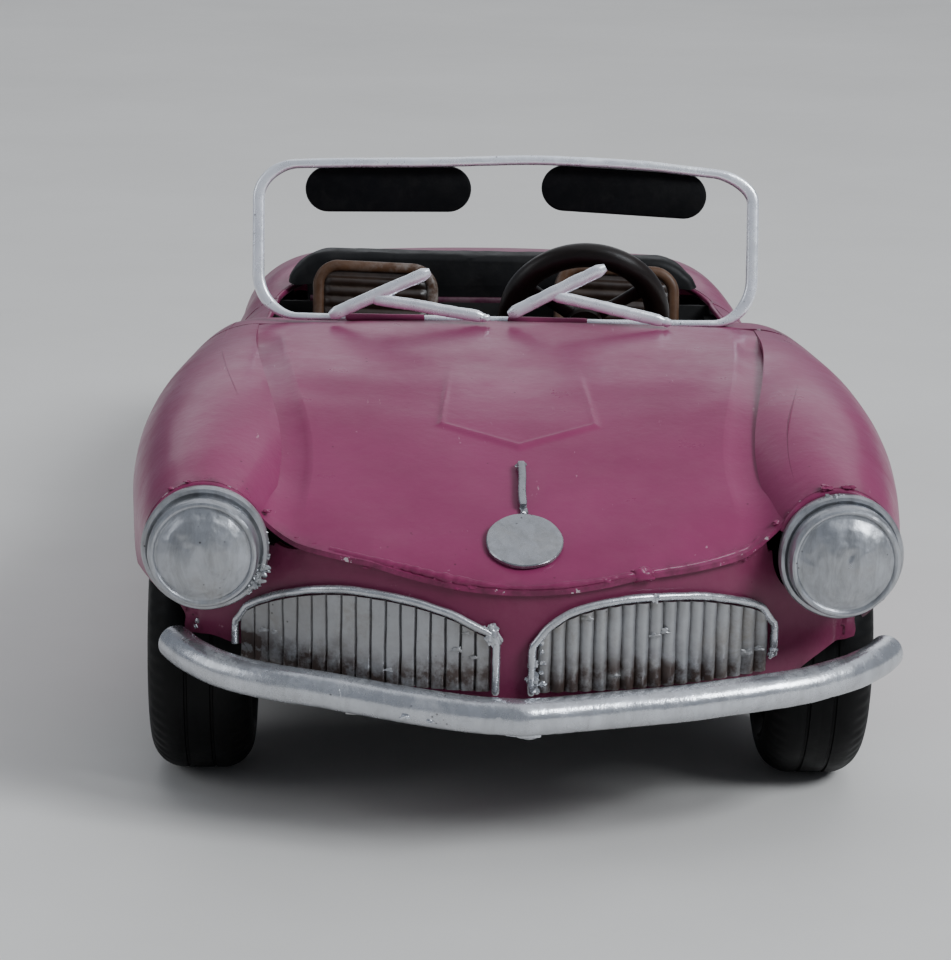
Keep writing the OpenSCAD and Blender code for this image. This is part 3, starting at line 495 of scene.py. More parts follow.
def plain(name, low, high, rough, metal=0.0, scale=120, dust=(0.2, 0.18, 0.16), dusty=0.2, **sockets):
    """A simpler finish: two tones, dust, uneven gloss and a fine bump."""
    s = Shader(name, Metallic=metal, **sockets)
    colour = s.mix(s.span(s.noise(scale, 5, 0.65), 0.32, 0.68), low, high)
    film = s.times(s.span(s.noise(scale * 2.7, 6, 0.75, 0.3), 0.48, 0.75), dusty)
    colour = s.mix(film, colour, dust)
    # the dust colour mixed in along the rim: wear and dust, and on the seat piping also a painted highlight
    rim = s.times(s.rim(), s.span(s.noise(scale * 3, 4, 0.7), 0.42, 0.6))
    colour = s.mix(s.times(rim, 0.6), colour, dust)
    roughness = s.span(s.noise(scale * 1.6, 5, 0.7), 0.3, 0.7, rough - 0.08, rough + 0.12)
    height = s.plus(s.noise(scale * 6, 3), s.times(s.noise(scale * 1.8, 4), 1.5))
    return s.finish(colour, roughness, s.bump(height, 0.0001, 0.4))


ENAMEL = enamel("body_enamel")
# the body paint darker on the nose: painted shade on the panel that faces forward and down
NOSE_ENAMEL_PAINTED_SHADE = enamel("nose_enamel_painted_shade", 0.78)
SILVER = silver("silver_trim", 0.22, 0.60, 0.22, strokes=0.45)
LAMP_SILVER = silver("silver_lamp", 0.30, 0.42, 0.33, strokes=0.7)
# the silver paint darker on the badge: painted shade
BADGE_SILVER_PAINTED_SHADE = silver("silver_badge_painted_shade", 0.30, 0.38, 0.24, strokes=0.6)
# the silver paint paler and less metallic for the windscreen frame and wipers: a painted reflection of bright
# surroundings
SCREEN_SILVER_PAINTED_REFLECTION = silver("silver_frame_painted_reflection", 0.12, 0.95, 0.25, metal=(0.65, 0.25))
GRILLE_SILVER = silver("silver_grille", 0.80, 0.45, 0.40, film=0.70, metal=(0.7, 0.2))
# the body paint much darker: painted shade, on the bulkhead's edge and on the flap below a headlamp
PLUM_PAINTED_SHADE = plain("body_plum_painted_shade", (0.040, 0.004, 0.018), (0.070, 0.008, 0.032), 0.4, dusty=0.1)
DARK_STEEL = plain("dark_steel", (0.006, 0.006, 0.006), (0.014, 0.013, 0.013), 0.45, metal=0.3, dusty=0.1)
BLACK = plain("black_satin", (0.0032, 0.0032, 0.0036), (0.0075, 0.0075, 0.0082), 0.48, dusty=0.03,
              Specular_IOR_Level=0.2)
VISOR = plain("black_visor", (0.0008, 0.0008, 0.0012), (0.002, 0.002, 0.0028), 0.45, dusty=0.02,
              Specular_IOR_Level=0.1)
TUB_BLACK = plain("black_floor", (0.004, 0.004, 0.004), (0.010, 0.0095, 0.009), 0.6, dusty=0.10,
                  dust=(0.05, 0.045, 0.04))
TYRE = plain("tyre_rubber", (0.0012, 0.0012, 0.0014), (0.0032, 0.0031, 0.0032), 0.5, dusty=0.08,
             dust=(0.014, 0.012, 0.012), Specular_IOR_Level=0.14)
BROWN = plain("brown_ribs", (0.012, 0.006, 0.004), (0.028, 0.014, 0.008), 0.40, dusty=0.06, dust=(0.06, 0.045, 0.035))
# its dust colour also makes the pale patch on the right seat's piping: wear and a painted highlight
PIPING = plain("brown_piping", (0.060, 0.028, 0.014), (0.105, 0.052, 0.027), 0.42, dusty=0.12,
               dust=(0.30, 0.28, 0.26), Specular_IOR_Level=0.3)
WHEEL_BROWN = plain("brown_wheel", (0.006, 0.0036, 0.003), (0.016, 0.009, 0.0068), 0.36, dusty=0.03,
                    dust=(0.04, 0.03, 0.025), Specular_IOR_Level=0.35)
STEEL = plain("plain_steel", (0.38, 0.38, 0.39), (0.52, 0.52, 0.52), 0.34, metal=0.9, dusty=0.3,
              dust=(0.12, 0.09, 0.07))
BRASS = plain("stamped_brass", (0.52, 0.36, 0.14), (0.66, 0.48, 0.21), 0.34, metal=0.9, dusty=0.3,
              dust=(0.14, 0.1, 0.05))
FLOOR = plain("pale_floor", (0.66, 0.64, 0.61), (0.72, 0.70, 0.67), 0.6, scale=6, dusty=0.0)
# each slot's finishes, the usual one first
FINISHES = {"body_paint": (ENAMEL, NOSE_ENAMEL_PAINTED_SHADE, PLUM_PAINTED_SHADE),
            "silver_paint": (SILVER, LAMP_SILVER, BADGE_SILVER_PAINTED_SHADE, SCREEN_SILVER_PAINTED_REFLECTION, GRILLE_SILVER),
            "black_paint": (BLACK, VISOR, TUB_BLACK), "brown_paint": (BROWN, PIPING, WHEEL_BROWN),
            "tyre_black": (TYRE,), "bare_steel": (STEEL,), "gear_brass": (BRASS,)}
OWN_FINISH = {"cockpit_tub": TUB_BLACK, "base_plate": TUB_BLACK, "motor_pan": TUB_BLACK, "steering_column": DARK_STEEL}

# CAD nodes that stay as they are take a finish of their own or their slot's usual one
for part in frame["record"]["subparts"]:
    coats = frame["nodes"][part["node"]].data.materials
    coats.clear()
    coats.append(OWN_FINISH.get(part["node"], FINISHES[part["material_slot"]][0]))


# ---- camera, floor and light

def studio():
    scene = bpy.context.scene
    elevation, azimuth, roll = math.radians(14), math.radians(-1.5), math.radians(1)
    look = Vector((-0.007, -0.125, 0.0555))
    level = math.cos(elevation)
    back = Vector((math.sin(azimuth) * level, -math.cos(azimuth) * level, math.sin(elevation)))
    right = (-back).cross(Vector((0, 0, 1))).normalized()
    up = right.cross(-back)
    right, up = right * math.cos(roll) + up * math.sin(roll), up * math.cos(roll) - right * math.sin(roll)
    data = bpy.data.cameras.new("camera")
    data.sensor_width = 36
    data.lens = 127.5
    data.clip_start, data.clip_end = 0.02, 60
    camera = bpy.data.objects.new("camera", data)
    scene.collection.objects.link(camera)
    camera.matrix_world = Matrix((right, up, back)).transposed().to_4x4()
    camera.matrix_world.translation = look + back * 0.52
    scene.camera = camera

    floor_data = bpy.data.meshes.new("floor")
    floor_data.from_pydata([(-6, -6, 0), (6, -6, 0), (6, 6, 0), (-6, 6, 0)], [], [(0, 1, 2, 3)])
    floor = bpy.data.objects.new("floor", floor_data)
    floor_data.materials.append(FLOOR)
    scene.collection.objects.link(floor)

    world = bpy.data.worlds.new("studio")
    scene.world = world
    world.use_nodes = True
    sky = world.node_tree.nodes["Background"].inputs
    sky["Color"].default_value, sky["Strength"].default_value = (0.80, 0.87, 1.0, 1), 0.27

    def lamp(name, place, aim, size, power, colour):
        light = bpy.data.lights.new(name, "AREA")
        light.shape = "RECTANGLE"
        light.size, light.size_y = size
        light.energy = power
        light.color = colour
        o = bpy.data.objects.new(name, light)
        o.location = place
        o.rotation_euler = (Vector(aim) - Vector(place)).to_track_quat("-Z", "Y").to_euler()
        scene.collection.objects.link(o)

    lamp("overhead", (0.35, 0.15, 1.30), (0, 0, 0), (2.3, 1.8), 8.0, (0.95, 0.97, 1))
    lamp("left_window", (-1.3, -0.35, 0.75), (0, -0.02, 0.05), (0.9, 0.8), 4.0, (0.92, 0.96, 1))
    lamp("front_right", (0.95, -0.80, 1.0), (0.02, -0.12, 0.04), (0.60, 0.50), 21, (0.90, 0.95, 1))
    lamp("behind", (0, 1.6, 0.85), (0, 0, 0.05), (1.8, 0.8), 5, (0.96, 0.98, 1))


studio()


# ---- body panels

def dented(outer, inner, amount, seed):
    """Pushes both sides of a sheet in, along its normal, by a little hand-beaten unevenness."""
    n = outer - inner
    n = n / np.linalg.norm(n, axis=-1)[..., None]
    w = np.minimum(uneven(outer, DENT_SCALE, seed) - 0.6, 0) * amount
    return outer + n * w[..., None], inner + n * w[..., None]


def hem(path, seed):
    """The rolled edge of a panel, a little uneven."""
    path = np.asarray(path, float)
    keep = np.concatenate([[True], np.linalg.norm(np.diff(path, axis=0), axis=1) > 0.05])
    path = path[keep]
    swell = 1 + 0.08 * uneven(path, 0.25, seed)
    level = abs(path[0, 2] - path[-1, 2]) < 25
    return sweep(path, ring_section(HEM_R, sides=10), up=(0.13, 0.21, 0.97) if level else (0.3, 0.9, 0.2), swell=swell)


def panel(name, shape, seed, node, hems=(), amount=0.16, flip=False, clean=(), paint=ENAMEL):
    """A skin in place of one CAD panel, with a hem along each run of points that hems picks from its grid."""
    outer, inner = dented(shape(0.0), shape(TIN), amount, seed)
    centre = outer * 0.35 + inner * 0.65
    whole = join([sheet(outer, inner)] + [hem(pick(centre), seed + k) for k, pick in enumerate(hems)])
    rim = rim_of(outer, clean)
    rim = np.concatenate([rim, np.full(len(whole[0]) - len(rim), HEM_WEAR)])
    make(name, whole, paint, replaces=(node,), rim=rim, flip=flip)


# the V pressed into the bonnet: its middle, its half width in front, and the y of its tip and of its front corners
PRESS_X, PRESS_HALF, PRESS_TIP_Y, PRESS_SIDE_Y = 0.2, 12.7, -110, -103


def bonnet_front(v): return -143 + 12 * v ** 2
def seam_z(x): return curve(SEAM, 1, x)


def bonnet_point(v, t):
    """The pressed bonnet without its fillets: v across, t from front to back."""
    front = bonnet_front(v)
    y = front + (COWL_Y - front) * t
    x = v * (crease_x(np.maximum(y, FENDER_Y0)) - SEAM_GAP)
    z = bonnet_z(y, v)
    # the front edge curls down to the seam
    drop = np.maximum(0, bonnet_z(front, v) - seam_z(x))
    z = z - drop * np.exp(-((y - front) / 5.5) ** 2)
    # the shallow V pressed into the top, with a fine ridge along its edge
    beside_middle = np.abs(x - PRESS_X)
    side_x = PRESS_HALF - 1.5 * (y - PRESS_SIDE_Y) / 23
    ahead = y - PRESS_TIP_Y - (PRESS_SIDE_Y - PRESS_TIP_Y) * beside_middle / PRESS_HALF
    edge = np.minimum(ahead, side_x - beside_middle)
    fade = smooth((-70 - y) / 30)
    z = z + (0.34 * smooth(edge / 0.6) + 0.22 * np.exp(-((edge - 0.25) / 0.55) ** 2)) * fade
    return np.stack([x, y, z], -1)


def bonnet_shape(d):
    t = (np.linspace(0, 1, 230) ** 1.15)[:, None]
    flat, bend = 4.6, 6.0
    y_side = bonnet_front(1.0) + (COWL_Y - bonnet_front(1.0)) * t
    reach = 1 - flat / crease_x(y_side)
    middle = bonnet_point(np.linspace(-1, 1, 201)[None] * reach, t)
    corner = bonnet_point(np.ones_like(t), t)
    corner[..., 2] -= 2.4 * smooth((y_side + 130) / 14) * smooth((-54 - y_side) / 10)
    per = (half_w(y_side) + half_h(y_side)) / 2 * math.pi / 180
    land = shoulder(y_side, begin(y_side) - bend / per, -0.05)
    q = np.linspace(0, 1, 12)[None, 1:, None]
    right = (1 - q) ** 2 * middle[:, -1:] + 2 * q * (1 - q) * corner + q ** 2 * land
    left = ((1 - q) ** 2 * middle[:, :1] + 2 * q * (1 - q) * corner * MIRROR + q ** 2 * land * MIRROR)[:, ::-1]
    return np.concatenate([left, middle, right], axis=1) - np.array([0, 0, d * 0.8])


def nose_top(x):
    a = np.abs(x)
    circle = LAMP_Z - np.sqrt(np.maximum(0, 9.6 ** 2 - (np.maximum(a, LAMP_X - 9.6) - LAMP_X) ** 2))
    wedge = np.where(x < 0, 2.4 * smooth((-x - 29.5) / 8), 1.0 * smooth((x - 34.5) / 3))
    return np.where(a < 37.6, seam_z(x) - 0.15 - wedge, circle)


def nose_low(x):
    """The lower edge, cut away towards the wheels."""
    cut = np.where(x < 0, 5.4 * smooth((-x - 38.5) / 3.5), 5.2 * smooth((x - 40) / 9))
    return NOSE_Z + cut + 0.25 * np.sin(x * 0.9)


def nose_shape(d):
    last, bend = 49.9, 40
    half = np.concatenate([np.linspace(0, 36, 60), np.linspace(36.4, 44, 24)[:-1], np.linspace(44, last, 26)])
    x = np.concatenate([-half[:0:-1], half])[None]
    s = np.linspace(0, 1, 46)[:, None]
    z = nose_low(x) + (nose_top(x) - nose_low(x)) * s
    # the outer ends lean in a little below the headlamps
    reach = np.where(x < 0, 50.4 + 1.4 * smooth((z - 31) / 5), 52.0) + 0.15 * np.sin(z * 1.7)
    a = np.abs(x)
    x = np.sign(x) * np.where(a > bend, bend + (a - bend) * (reach - bend) / (last - bend), a)
    return on_nose(x, z, d)


def front_fender_shape(d):
    lip = math.degrees(math.acos(math.sqrt(ARCH_R ** 2 - (LAMP_LIP_Z - AXLE_Z) ** 2) / ARCH_R))
    y = np.concatenate([np.linspace(FENDER_Y0, -115.4, 20), arch_stations(FRONT_Y, lip, 178, 54),
                        np.linspace(-69.45, COWL_Y, 24)])
    return columns(y, begin(y) - 0.4, arch_edge(y, FRONT_Y, LAMP_LIP_Z, SILL_Z), 60, d)


def door_shape(d):
    y = np.linspace(COWL_Y + 0.6, DOOR_Y1 - SEAM_GAP, 70)
    return columns(y, DOOR_TOP, SILL_Z, 50, d)


def rear_fender_shape(d):
    y = np.concatenate([np.linspace(DOOR_Y1 + SEAM_GAP, 49.4, 34), arch_stations(REAR_Y, 2, 178, 60),
                        np.linspace(100.6, TAIL_Y, 34)])
    top = np.where(y < DECK_Y0, DOOR_TOP + (90 - DOOR_TOP) * ((y - DOOR_Y1) / (DECK_Y0 - DOOR_Y1)) ** 2, 90)
    return columns(y, top - 0.3, arch_edge(y, REAR_Y, SILL_Z, 18 + 0.08 * np.maximum(0, y - 100)), 56, d)


def deck_shape(d):
    y = np.linspace(DECK_Y0, TAIL_Y, 90)[:, None]
    x = np.linspace(-1, 1, 60)[None] * (mid_x(y) - SEAM_GAP)
    y = y + 0 * x
    return np.stack([x, y, top_z(y, x) - d], -1)


TAIL_W = float(mid_x(TAIL_Y) + half_w(TAIL_Y))
TAIL_LOW = 20.0


def tail_point(x, z, d=0.0):
    fall = np.maximum(0, z - 30) / (top_z(TAIL_Y, x) - 30)
    bulge = 6 * (1 - np.abs(x / TAIL_W) ** 4) * (1 - fall ** 3)
    return np.stack(np.broadcast_arrays(x, TAIL_Y + SEAM_GAP + TIN + bulge - d, z), -1)


def tail_shape(d):
    v = np.linspace(1, -1, 90)[None]
    x = TAIL_W * np.sign(v) * (1 - (1 - np.abs(v)) ** 1.4) * 0.9999
    s = np.linspace(0, 1, 44)[:, None]
    return tail_point(x, TAIL_LOW + (top_z(TAIL_Y, x) - TAIL_LOW) * s, d)


def scuttle_shape(d):
    y = np.linspace(COWL_Y + 0.6, -38, 14)[:, None]
    x = np.linspace(-1, 1, 80)[None] * (mid_x(y) + half_w(y) * math.cos(math.radians(DOOR_TOP + 0.9)))
    y = y + 0 * x
    return np.stack([x, y, top_z(y, x) - d], -1)


# paint on the nose below the seam, as (x, fall below the seam, size)
PAINT_SPOTS = [(5.3, 1.0, 0.5), (6.6, 1.2, 0.42), (8.1, 0.9, 0.55), (9.6, 1.2, 0.45), (10.8, 1.0, 0.5), (3.9, 0.8, 0.5),
               (-7.6, 0.5, 0.9), (-9.4, 0.9, 1.0), (-11.2, 0.6, 0.9), (12.1, 0.9, 0.4), (-13.0, 0.8, 0.8),
               (31.4, 0.6, 0.9), (33.6, 0.9, 0.8), (-31.5, 0.4, 0.8), (-34, 0.3, 0.7), (-24, 0.5, 0.6),
               (-23.2, 1.2, 0.5)]
# solder on the seam, as (x, size)
SOLDER_LUMPS = [(17.6, 1.75), (18.3, 1.2), (12.3, 0.8), (14.6, 0.6), (20.8, 0.7), (-11.5, 0.85), (-14.2, 0.6),
                (-18.5, 0.75), (-21.6, 0.5), (5.2, 0.5), (30.5, 0.7), (35.6, 0.8), (-26.5, 0.7)]
# drips above both headlamps and where the bonnet meets them, as (x, y, z, size)
DRIPS = [(-53.0, -130.6, 55.0, 0.5), (-50.6, -130.8, 56.2, 0.4), (46.0, -131.0, 56.4, 0.8), (49.5, -130.9, 56.5, 0.7),
         (38.9, -130.4, 50.6, 0.7), (-38.6, -130.3, 51.6, 0.5)]


def paint_runs():
    """The soldered seam between the bonnet and the nose: an uneven bead and lumps of paint."""
    x = np.linspace(-29, 37.5, 260)
    path = on_nose(x, seam_z(x) - 0.05, -0.05)
    swell = 0.7 + 0.45 * np.abs(uneven(path, 0.35, 5, 3)) + 0.25 * uneven(path, 0.09, 9)
    thick = 0.78 - 0.30 * smooth((x + 8) / 4) + 0.20 * smooth((x - 3) / 3)
    parts = [sweep(path, ring_section(1.0, 0.8, 12), up=(0, -1, 0.2), swell=np.clip(swell, 0.5, 1.5) * thick)]
    for k, (at, fall, size) in enumerate(PAINT_SPOTS):
        parts.append(blob(on_nose(at, seam_z(at) - fall, -0.02), (size * 1.2, size * 0.5, size * 0.7), k + 50, 0.4))
    for k, (at, size) in enumerate(SOLDER_LUMPS):
        parts.append(blob(on_nose(at, seam_z(at) - 0.2, -0.05), (size * 1.15, size * 0.55, size * 0.62), k + 3))
    for k, (*place, size) in enumerate(DRIPS):
        parts.append(blob(place, (size * 1.3, size, size * 0.5), k + 30, 0.35))
    return join(parts)


panel("bonnet_skin", bonnet_shape, 3, "bonnet", clean=("first_column", "last_column"))
# the nose takes the darker body paint: painted shade
panel("nose_skin", nose_shape, 7, "nose_panel", amount=0.22, paint=NOSE_ENAMEL_PAINTED_SHADE)
make("seam_bead", paint_runs(), ENAMEL, rim=0.5)
for side_name, flip, seed in (("left", False, 11), ("right", True, 23)):
    panel("front_fender_skin_" + side_name, front_fender_shape, seed, "front_fender_" + side_name,
          (lambda c: c[:, -1], lambda c: c[0]), flip=flip, clean=("first_column",))
    panel("door_skin_" + side_name, door_shape, seed + 1, "door_" + side_name,
          (lambda c: c[:, 0], lambda c: c[:, -1]), flip=flip)
    panel("rear_fender_skin_" + side_name, rear_fender_shape, seed + 2, "rear_fender_" + side_name,
          (lambda c: c[:, -1], lambda c: c[:16, 0]), flip=flip)
panel("rear_deck_skin", deck_shape, 31, "rear_deck", (lambda c: c[0],))
panel("tail_skin", tail_shape, 37, "tail_panel", (lambda c: c[0],))
panel("scuttle_skin", scuttle_shape, 41, "scuttle", (lambda c: c[-1],))


# ---- headlamps

LAMP_PLACE = np.array([LAMP_X, LAMP_Y, LAMP_Z])
FORWARD = (0, -1, 0)
BUCKET = [(0, 0), (8, 0), (8, 7.2), (9.4, 7.3), (9.6, 7.7), (9.65, 9.0), (9.4, 9.5), (8.9, 9.6), (8.4, 9.3), (7, 9.3),
          (7, 1), (0, 1)]


def headlamp(name, flip, seed, crumbs, nick, lens_r, toe, out, up):
    """The lamp is toed out a little; crumbs are torn tin and solder round it, as (angle, radius, forward, size)."""
    toe = math.radians(toe)
    turn = np.array([[math.cos(toe), math.sin(toe), 0], [-math.sin(toe), math.cos(toe), 0], [0, 0, 1]])

    def warp(a, r, h):
        bend = 1 + 0.006 * np.sin(2 * a + seed)[:, None] + 0.004 * np.sin(5 * a + 2 * seed)[:, None]
        return r * bend, h + 0.06 * np.sin(3 * a + seed)[:, None] * (r > 7)

    def rough(mesh, amount, scale):
        points, faces = mesh
        w = uneven(points, scale, seed, 3) * amount
        w = w - nick * np.exp(-((points[:, 0] - 0.4) ** 2 + (points[:, 2] - 1.6) ** 2) / 0.25)
        return points + np.outer(np.where(points[:, 1] < -8.5, w, 0), FORWARD), faces

    def placed(mesh):
        return mesh[0] @ turn + (LAMP_PLACE + np.array([out, 0, up])), mesh[1]
    k = lens_r / 8.75
    dome = [(0, 7.9), (6.9, 7.9), (6.9, 9.2), (8.35 * k, 9.3), (8.68 * k, 9.8), (8.75 * k, 11.2), (8.65 * k, 12.2),
            (8.4 * k, 12.75), (8.05 * k, 12.9), (7.75 * k, 12.8), (7.5 * k, 12.55), (7.2 * k, 12.62), (6.6 * k, 12.95),
            (5.6, 13.45), (4.4, 13.92), (3.2, 14.25), (1.8, 14.48), (0, 14.55)]
    bucket = lathe(smooth_profile(BUCKET), (0, 0, 0), FORWARD, 120, warp)
    lens = lathe(smooth_profile(dome, 4), (0, 0, 0), FORWARD, 120, warp)
    torn = [blob((r * math.cos(math.radians(a)), -f, r * math.sin(math.radians(a))), (q * 0.8, q * 0.4, q * 0.62),
                 seed * 10 + n, 0.7) for n, (a, r, f, q) in enumerate(crumbs)]
    shell = placed(join([rough(bucket, 0.08, 0.5)] + torn))
    make("headlamp_rim_" + name, shell, LAMP_SILVER, replaces=("headlamp_bucket_" + name,),
         rim=patchy(shell[0], 0.35, 0.3, seed, 0.3), flip=flip)
    make("headlamp_face_" + name, placed(rough(lens, 0.16, 0.3)), LAMP_SILVER, replaces=("headlamp_lens_" + name,),
         flip=flip)


def flap():
    """A torn sliver of the fender's lip that sticks out below the outer side of one headlamp."""
    u, v = np.linspace(0, 1, 20)[:, None], np.linspace(-1, 1, 8)[None]
    half = 0.75 * (1 - u) ** 0.8 + 0.08
    outer = np.stack(np.broadcast_arrays(4.0 + 4.1 * u + 0.45 * half * v, -7.4 + 0.3 * np.sin(4 * u) + 0 * v,
                                         -9.1 + 2.9 * u ** 1.3 - half * v), -1)
    outer = wobble(outer, 0.12, 0.6, 1) + LAMP_PLACE
    # the flap takes the dark plum: painted shade below the lamp
    make("lamp_flap", sheet(outer, outer + np.array([0, 0.4, 0])), PLUM_PAINTED_SHADE, rim=0.3)


flap()
headlamp("left", False, 2,
         [(101, 9.1, 9.0, 1.1), (93, 9.2, 8.8, 0.8), (109, 9.1, 8.9, 0.7), (84, 9.1, 8.9, 0.6), (76, 9.3, 8.7, 0.5),
          (148, 9.0, 9.1, 0.5), (139, 9.0, 9.0, 0.45), (212, 9.0, 9.0, 0.35), (300, 9.0, 9.0, 0.5)],
         nick=0.35, lens_r=8.6, toe=3.5, out=0.0, up=0.0)
headlamp("right", True, 5,
         [(196, 9.15, 9.1, 0.95), (204, 9.1, 9.2, 1.1), (212, 9.15, 9.1, 1.0), (219, 9.1, 9.3, 0.85),
          (187, 9.2, 9.0, 0.8), (226, 9.15, 9.1, 0.7), (172, 9.2, 8.9, 0.7), (163, 9.2, 8.9, 0.55),
          (200, 9.7, 8.8, 0.7), (215, 9.7, 8.9, 0.6)],
         nick=0.0, lens_r=8.4, toe=2.5, out=-0.5, up=0.3)


# ---- grilles

RIBS = 17


def grille(name, table, flip, seed, profile, soot_z, corner, bits):
    """Ribs with soot up to about soot_z and painted shade in the grooves between them; corner is 1 for a painted shadow
    in the gap at the outer end, and bits are lumps, as (x, z, size).
    """
    x0, x1 = table[0][0] - 0.15, table[-1][0] + 0.15
    u = np.linspace(0, 1, RIBS * 14 + 1)[None]
    s = np.linspace(0, 1, 34)[:, None]
    x = x0 + (x1 - x0) * u + 0.05 * np.sin(7 * s + seed) * np.sin(u * 40)
    x = np.clip(x, x0, x1)
    z = GRILLE_LOW + (curve(table, 1, x) + 0.05 - GRILLE_LOW) * s
    flat = np.stack(np.broadcast_arrays(x, z, 0 * z), -1)
    depth = 0.3 + profile(u * RIBS % 1.0) + 0.10 * uneven(flat, 0.22, seed) + 0.05 * uneven(flat, 1.1, seed + 1)
    outer = on_nose(x, z, -np.clip(depth, 0.25, 1.3))
    mesh = sheet(outer, on_nose(x, z, -0.1))
    soot = 0.85 * smooth((soot_z - z) / 6.5 + 0.5 + 0.25 * uneven(flat, 0.10, seed + 4, 3))
    # a painted shadow in the gap at the outer end, where corner is 1
    painted_gap_shadow = corner * smooth((x - x1 + 3.4) / 0.8 + 0.6 * uneven(flat, 0.5, seed + 6)) * smooth((32.0 - z) / 0.8)
    # darkness carried as rim: painted shade in the grooves, the soot, and the gap's painted shadow
    soot_and_painted_shade = (np.clip(1 - profile(u * RIBS % 1.0) / 0.8, 0, 1) ** 2 * 0.45
           + soot * (1.3 + 0.5 * uneven(flat, 0.3, seed + 5)) + 2 * painted_gap_shadow)
    parts = [mesh] + [blob(on_nose(bx, bz, -1.0), (r * 1.5, r * 0.35, r * 0.7), seed + k, 0.6)
                      for k, (bx, bz, r) in enumerate(bits)]
    whole = join(parts)
    rim = np.concatenate([soot_and_painted_shade.reshape(-1), soot_and_painted_shade.reshape(-1), np.zeros(len(whole[0]) - 2 * soot_and_painted_shade.size)])
    make("grille_ribs_" + name, whole, GRILLE_SILVER, replaces=("grille_" + name,), rim=rim, flip=flip, sharp=60)


def surround(name, table, flip, seed, low_end, lumps):
    """The wire round a grille; lumps are solder on it, as (x, z, size, forward)."""
    r, o = 0.62, 0.95
    (x0, z0), (x1, z1) = table[0], table[-1]
    top = np.linspace(x0 + 0.4, x1 - 0.4, 90)
    line = ([(x0 - o, z) for z in np.linspace(26.5, z0 - 0.9, 24)] + [(x0 - o + 0.2, z0), (x0 - 0.25, z0 + 0.6)]
            + [(x, float(curve(table, 1, x)) + o) for x in top] + [(x1 + 0.3, z1 + 0.6), (x1 + o - 0.18, z1)]
            + [(x1 + o, z) for z in np.linspace(z1 - 0.9, low_end, 24)])
    line = np.array(line)
    path = wobble(on_nose(line[:, 0], line[:, 1], -r - 0.2), 0.07, 0.2, seed)
    swell = 1 + 0.09 * uneven(path, 0.5, seed, 3)
    swell[0] = swell[-1] = 0.7
    parts = [sweep(path, ring_section(r, sides=14), up=(0, -1, 0), swell=swell)]
    for k, (x, z, size, out) in enumerate(lumps):
        parts.append(blob(on_nose(x, z, -out), (size, size * 0.6, size * 1.15), seed + k, 0.4))
    mesh = join(parts)
    make("grille_wire_" + name, mesh, SILVER, replaces=("grille_surround_" + name,),
         rim=0.25 + 0.2 * uneven(mesh[0], 0.4, seed), flip=flip)


def round_ribs(u): return 0.80 * np.abs(np.sin(math.pi * u)) ** 0.7
def flat_ribs(u): return (0.52 + 0.22 * u) * smooth(np.minimum(u / 0.16, (1 - u) / 0.09))


grille("left", GRILLE_LEFT, False, 3, round_ribs, 30.4, 0.0,
       [(21.0, 35.9, 0.55), (19.6, 35.3, 0.45), (34.0, 30.6, 0.6), (36.2, 30.9, 0.5), (9.5, 38.7, 0.4),
        (13.8, 29.4, 0.4)])
grille("right", GRILLE_RIGHT, True, 8, flat_ribs, 31.4, 1.0,
       [(8.2, 36.2, 0.35), (9.6, 33.6, 0.5), (7.0, 32.4, 0.4), (38.6, 32.6, 0.45), (36.8, 32.7, 0.35),
        (19.5, 29.4, 0.4)])
surround("left", GRILLE_LEFT, False, 4, 30.6,
         [(1.6, 31.5, 0.7, 0.7), (1.7, 29.2, 0.9, 0.7), (1.9, 27.6, 0.8, 0.8), (2.6, 35.2, 0.5, 0.9),
          (3.1, 28.4, 0.5, 0.9), (3.0, 33.6, 0.4, 0.9), (3.2, 31.8, 0.45, 0.9), (3.0, 30.2, 0.4, 0.9),
          (38.7, 30.2, 0.7, 0.9), (38.3, 29.4, 0.45, 0.9), (19.5, 41.4, 0.6, 1.3), (51.7, 29.9, 0.4, 0.5),
          (51.2, 29.3, 0.25, 0.5)])
surround("right", GRILLE_RIGHT, True, 6, 29.4,
         [(4.4, 36.6, 1.0, 0.8), (3.9, 35.2, 0.75, 0.9), (4.9, 35.6, 0.6, 1.2), (3.9, 31.3, 0.5, 0.8),
          (5.6, 36.9, 0.55, 1.0), (50.1, 31.3, 0.35, 0.4), (49.6, 30.6, 0.28, 0.5)])


# ---- bumpers

def bumper(name, node, left, right, low, high, end, sign, seed, extra=()):
    """A bent tube from x = low to high; end is its outermost y, and sign is -1 at the front and 1 at the rear."""
    t = np.linspace(-1, 1, 300)
    x = np.where(t < 0, low, high) * (1 - (1 - np.abs(t)) ** 1.4)
    a = np.abs(x)
    out, up = [np.where(x < 0, curve(right, k, a), curve(left, k, a)) for k in (1, 2)]
    path = np.stack([x, end - sign * out, up], -1)
    path[:, 2] += 0.10 * uneven(path, 0.05, seed)
    run = np.concatenate([[0], np.cumsum(np.linalg.norm(np.diff(path, axis=0), axis=1))])
    gap = np.minimum(run, run[-1] - run)
    rounded = 0.78 + 0.22 * np.sqrt(1 - np.clip(1 - gap / 0.7, 0, 1) ** 2)
    swell = (1 + 0.010 * uneven(path, 0.12, seed + 1, 3)) * rounded
    tube = sweep(path, ring_section(2.8, sides=44), swell=swell)
    points = tube[0] + np.outer(0.05 * uneven(tube[0], 0.45, seed + 2, 3), (0, -sign, 0.4))
    mesh = join([(points, tube[1])] + list(extra))
    make(name, mesh, SILVER, replaces=(node,), rim=patchy(mesh[0], 0.3, 0.3, seed, 0.3))


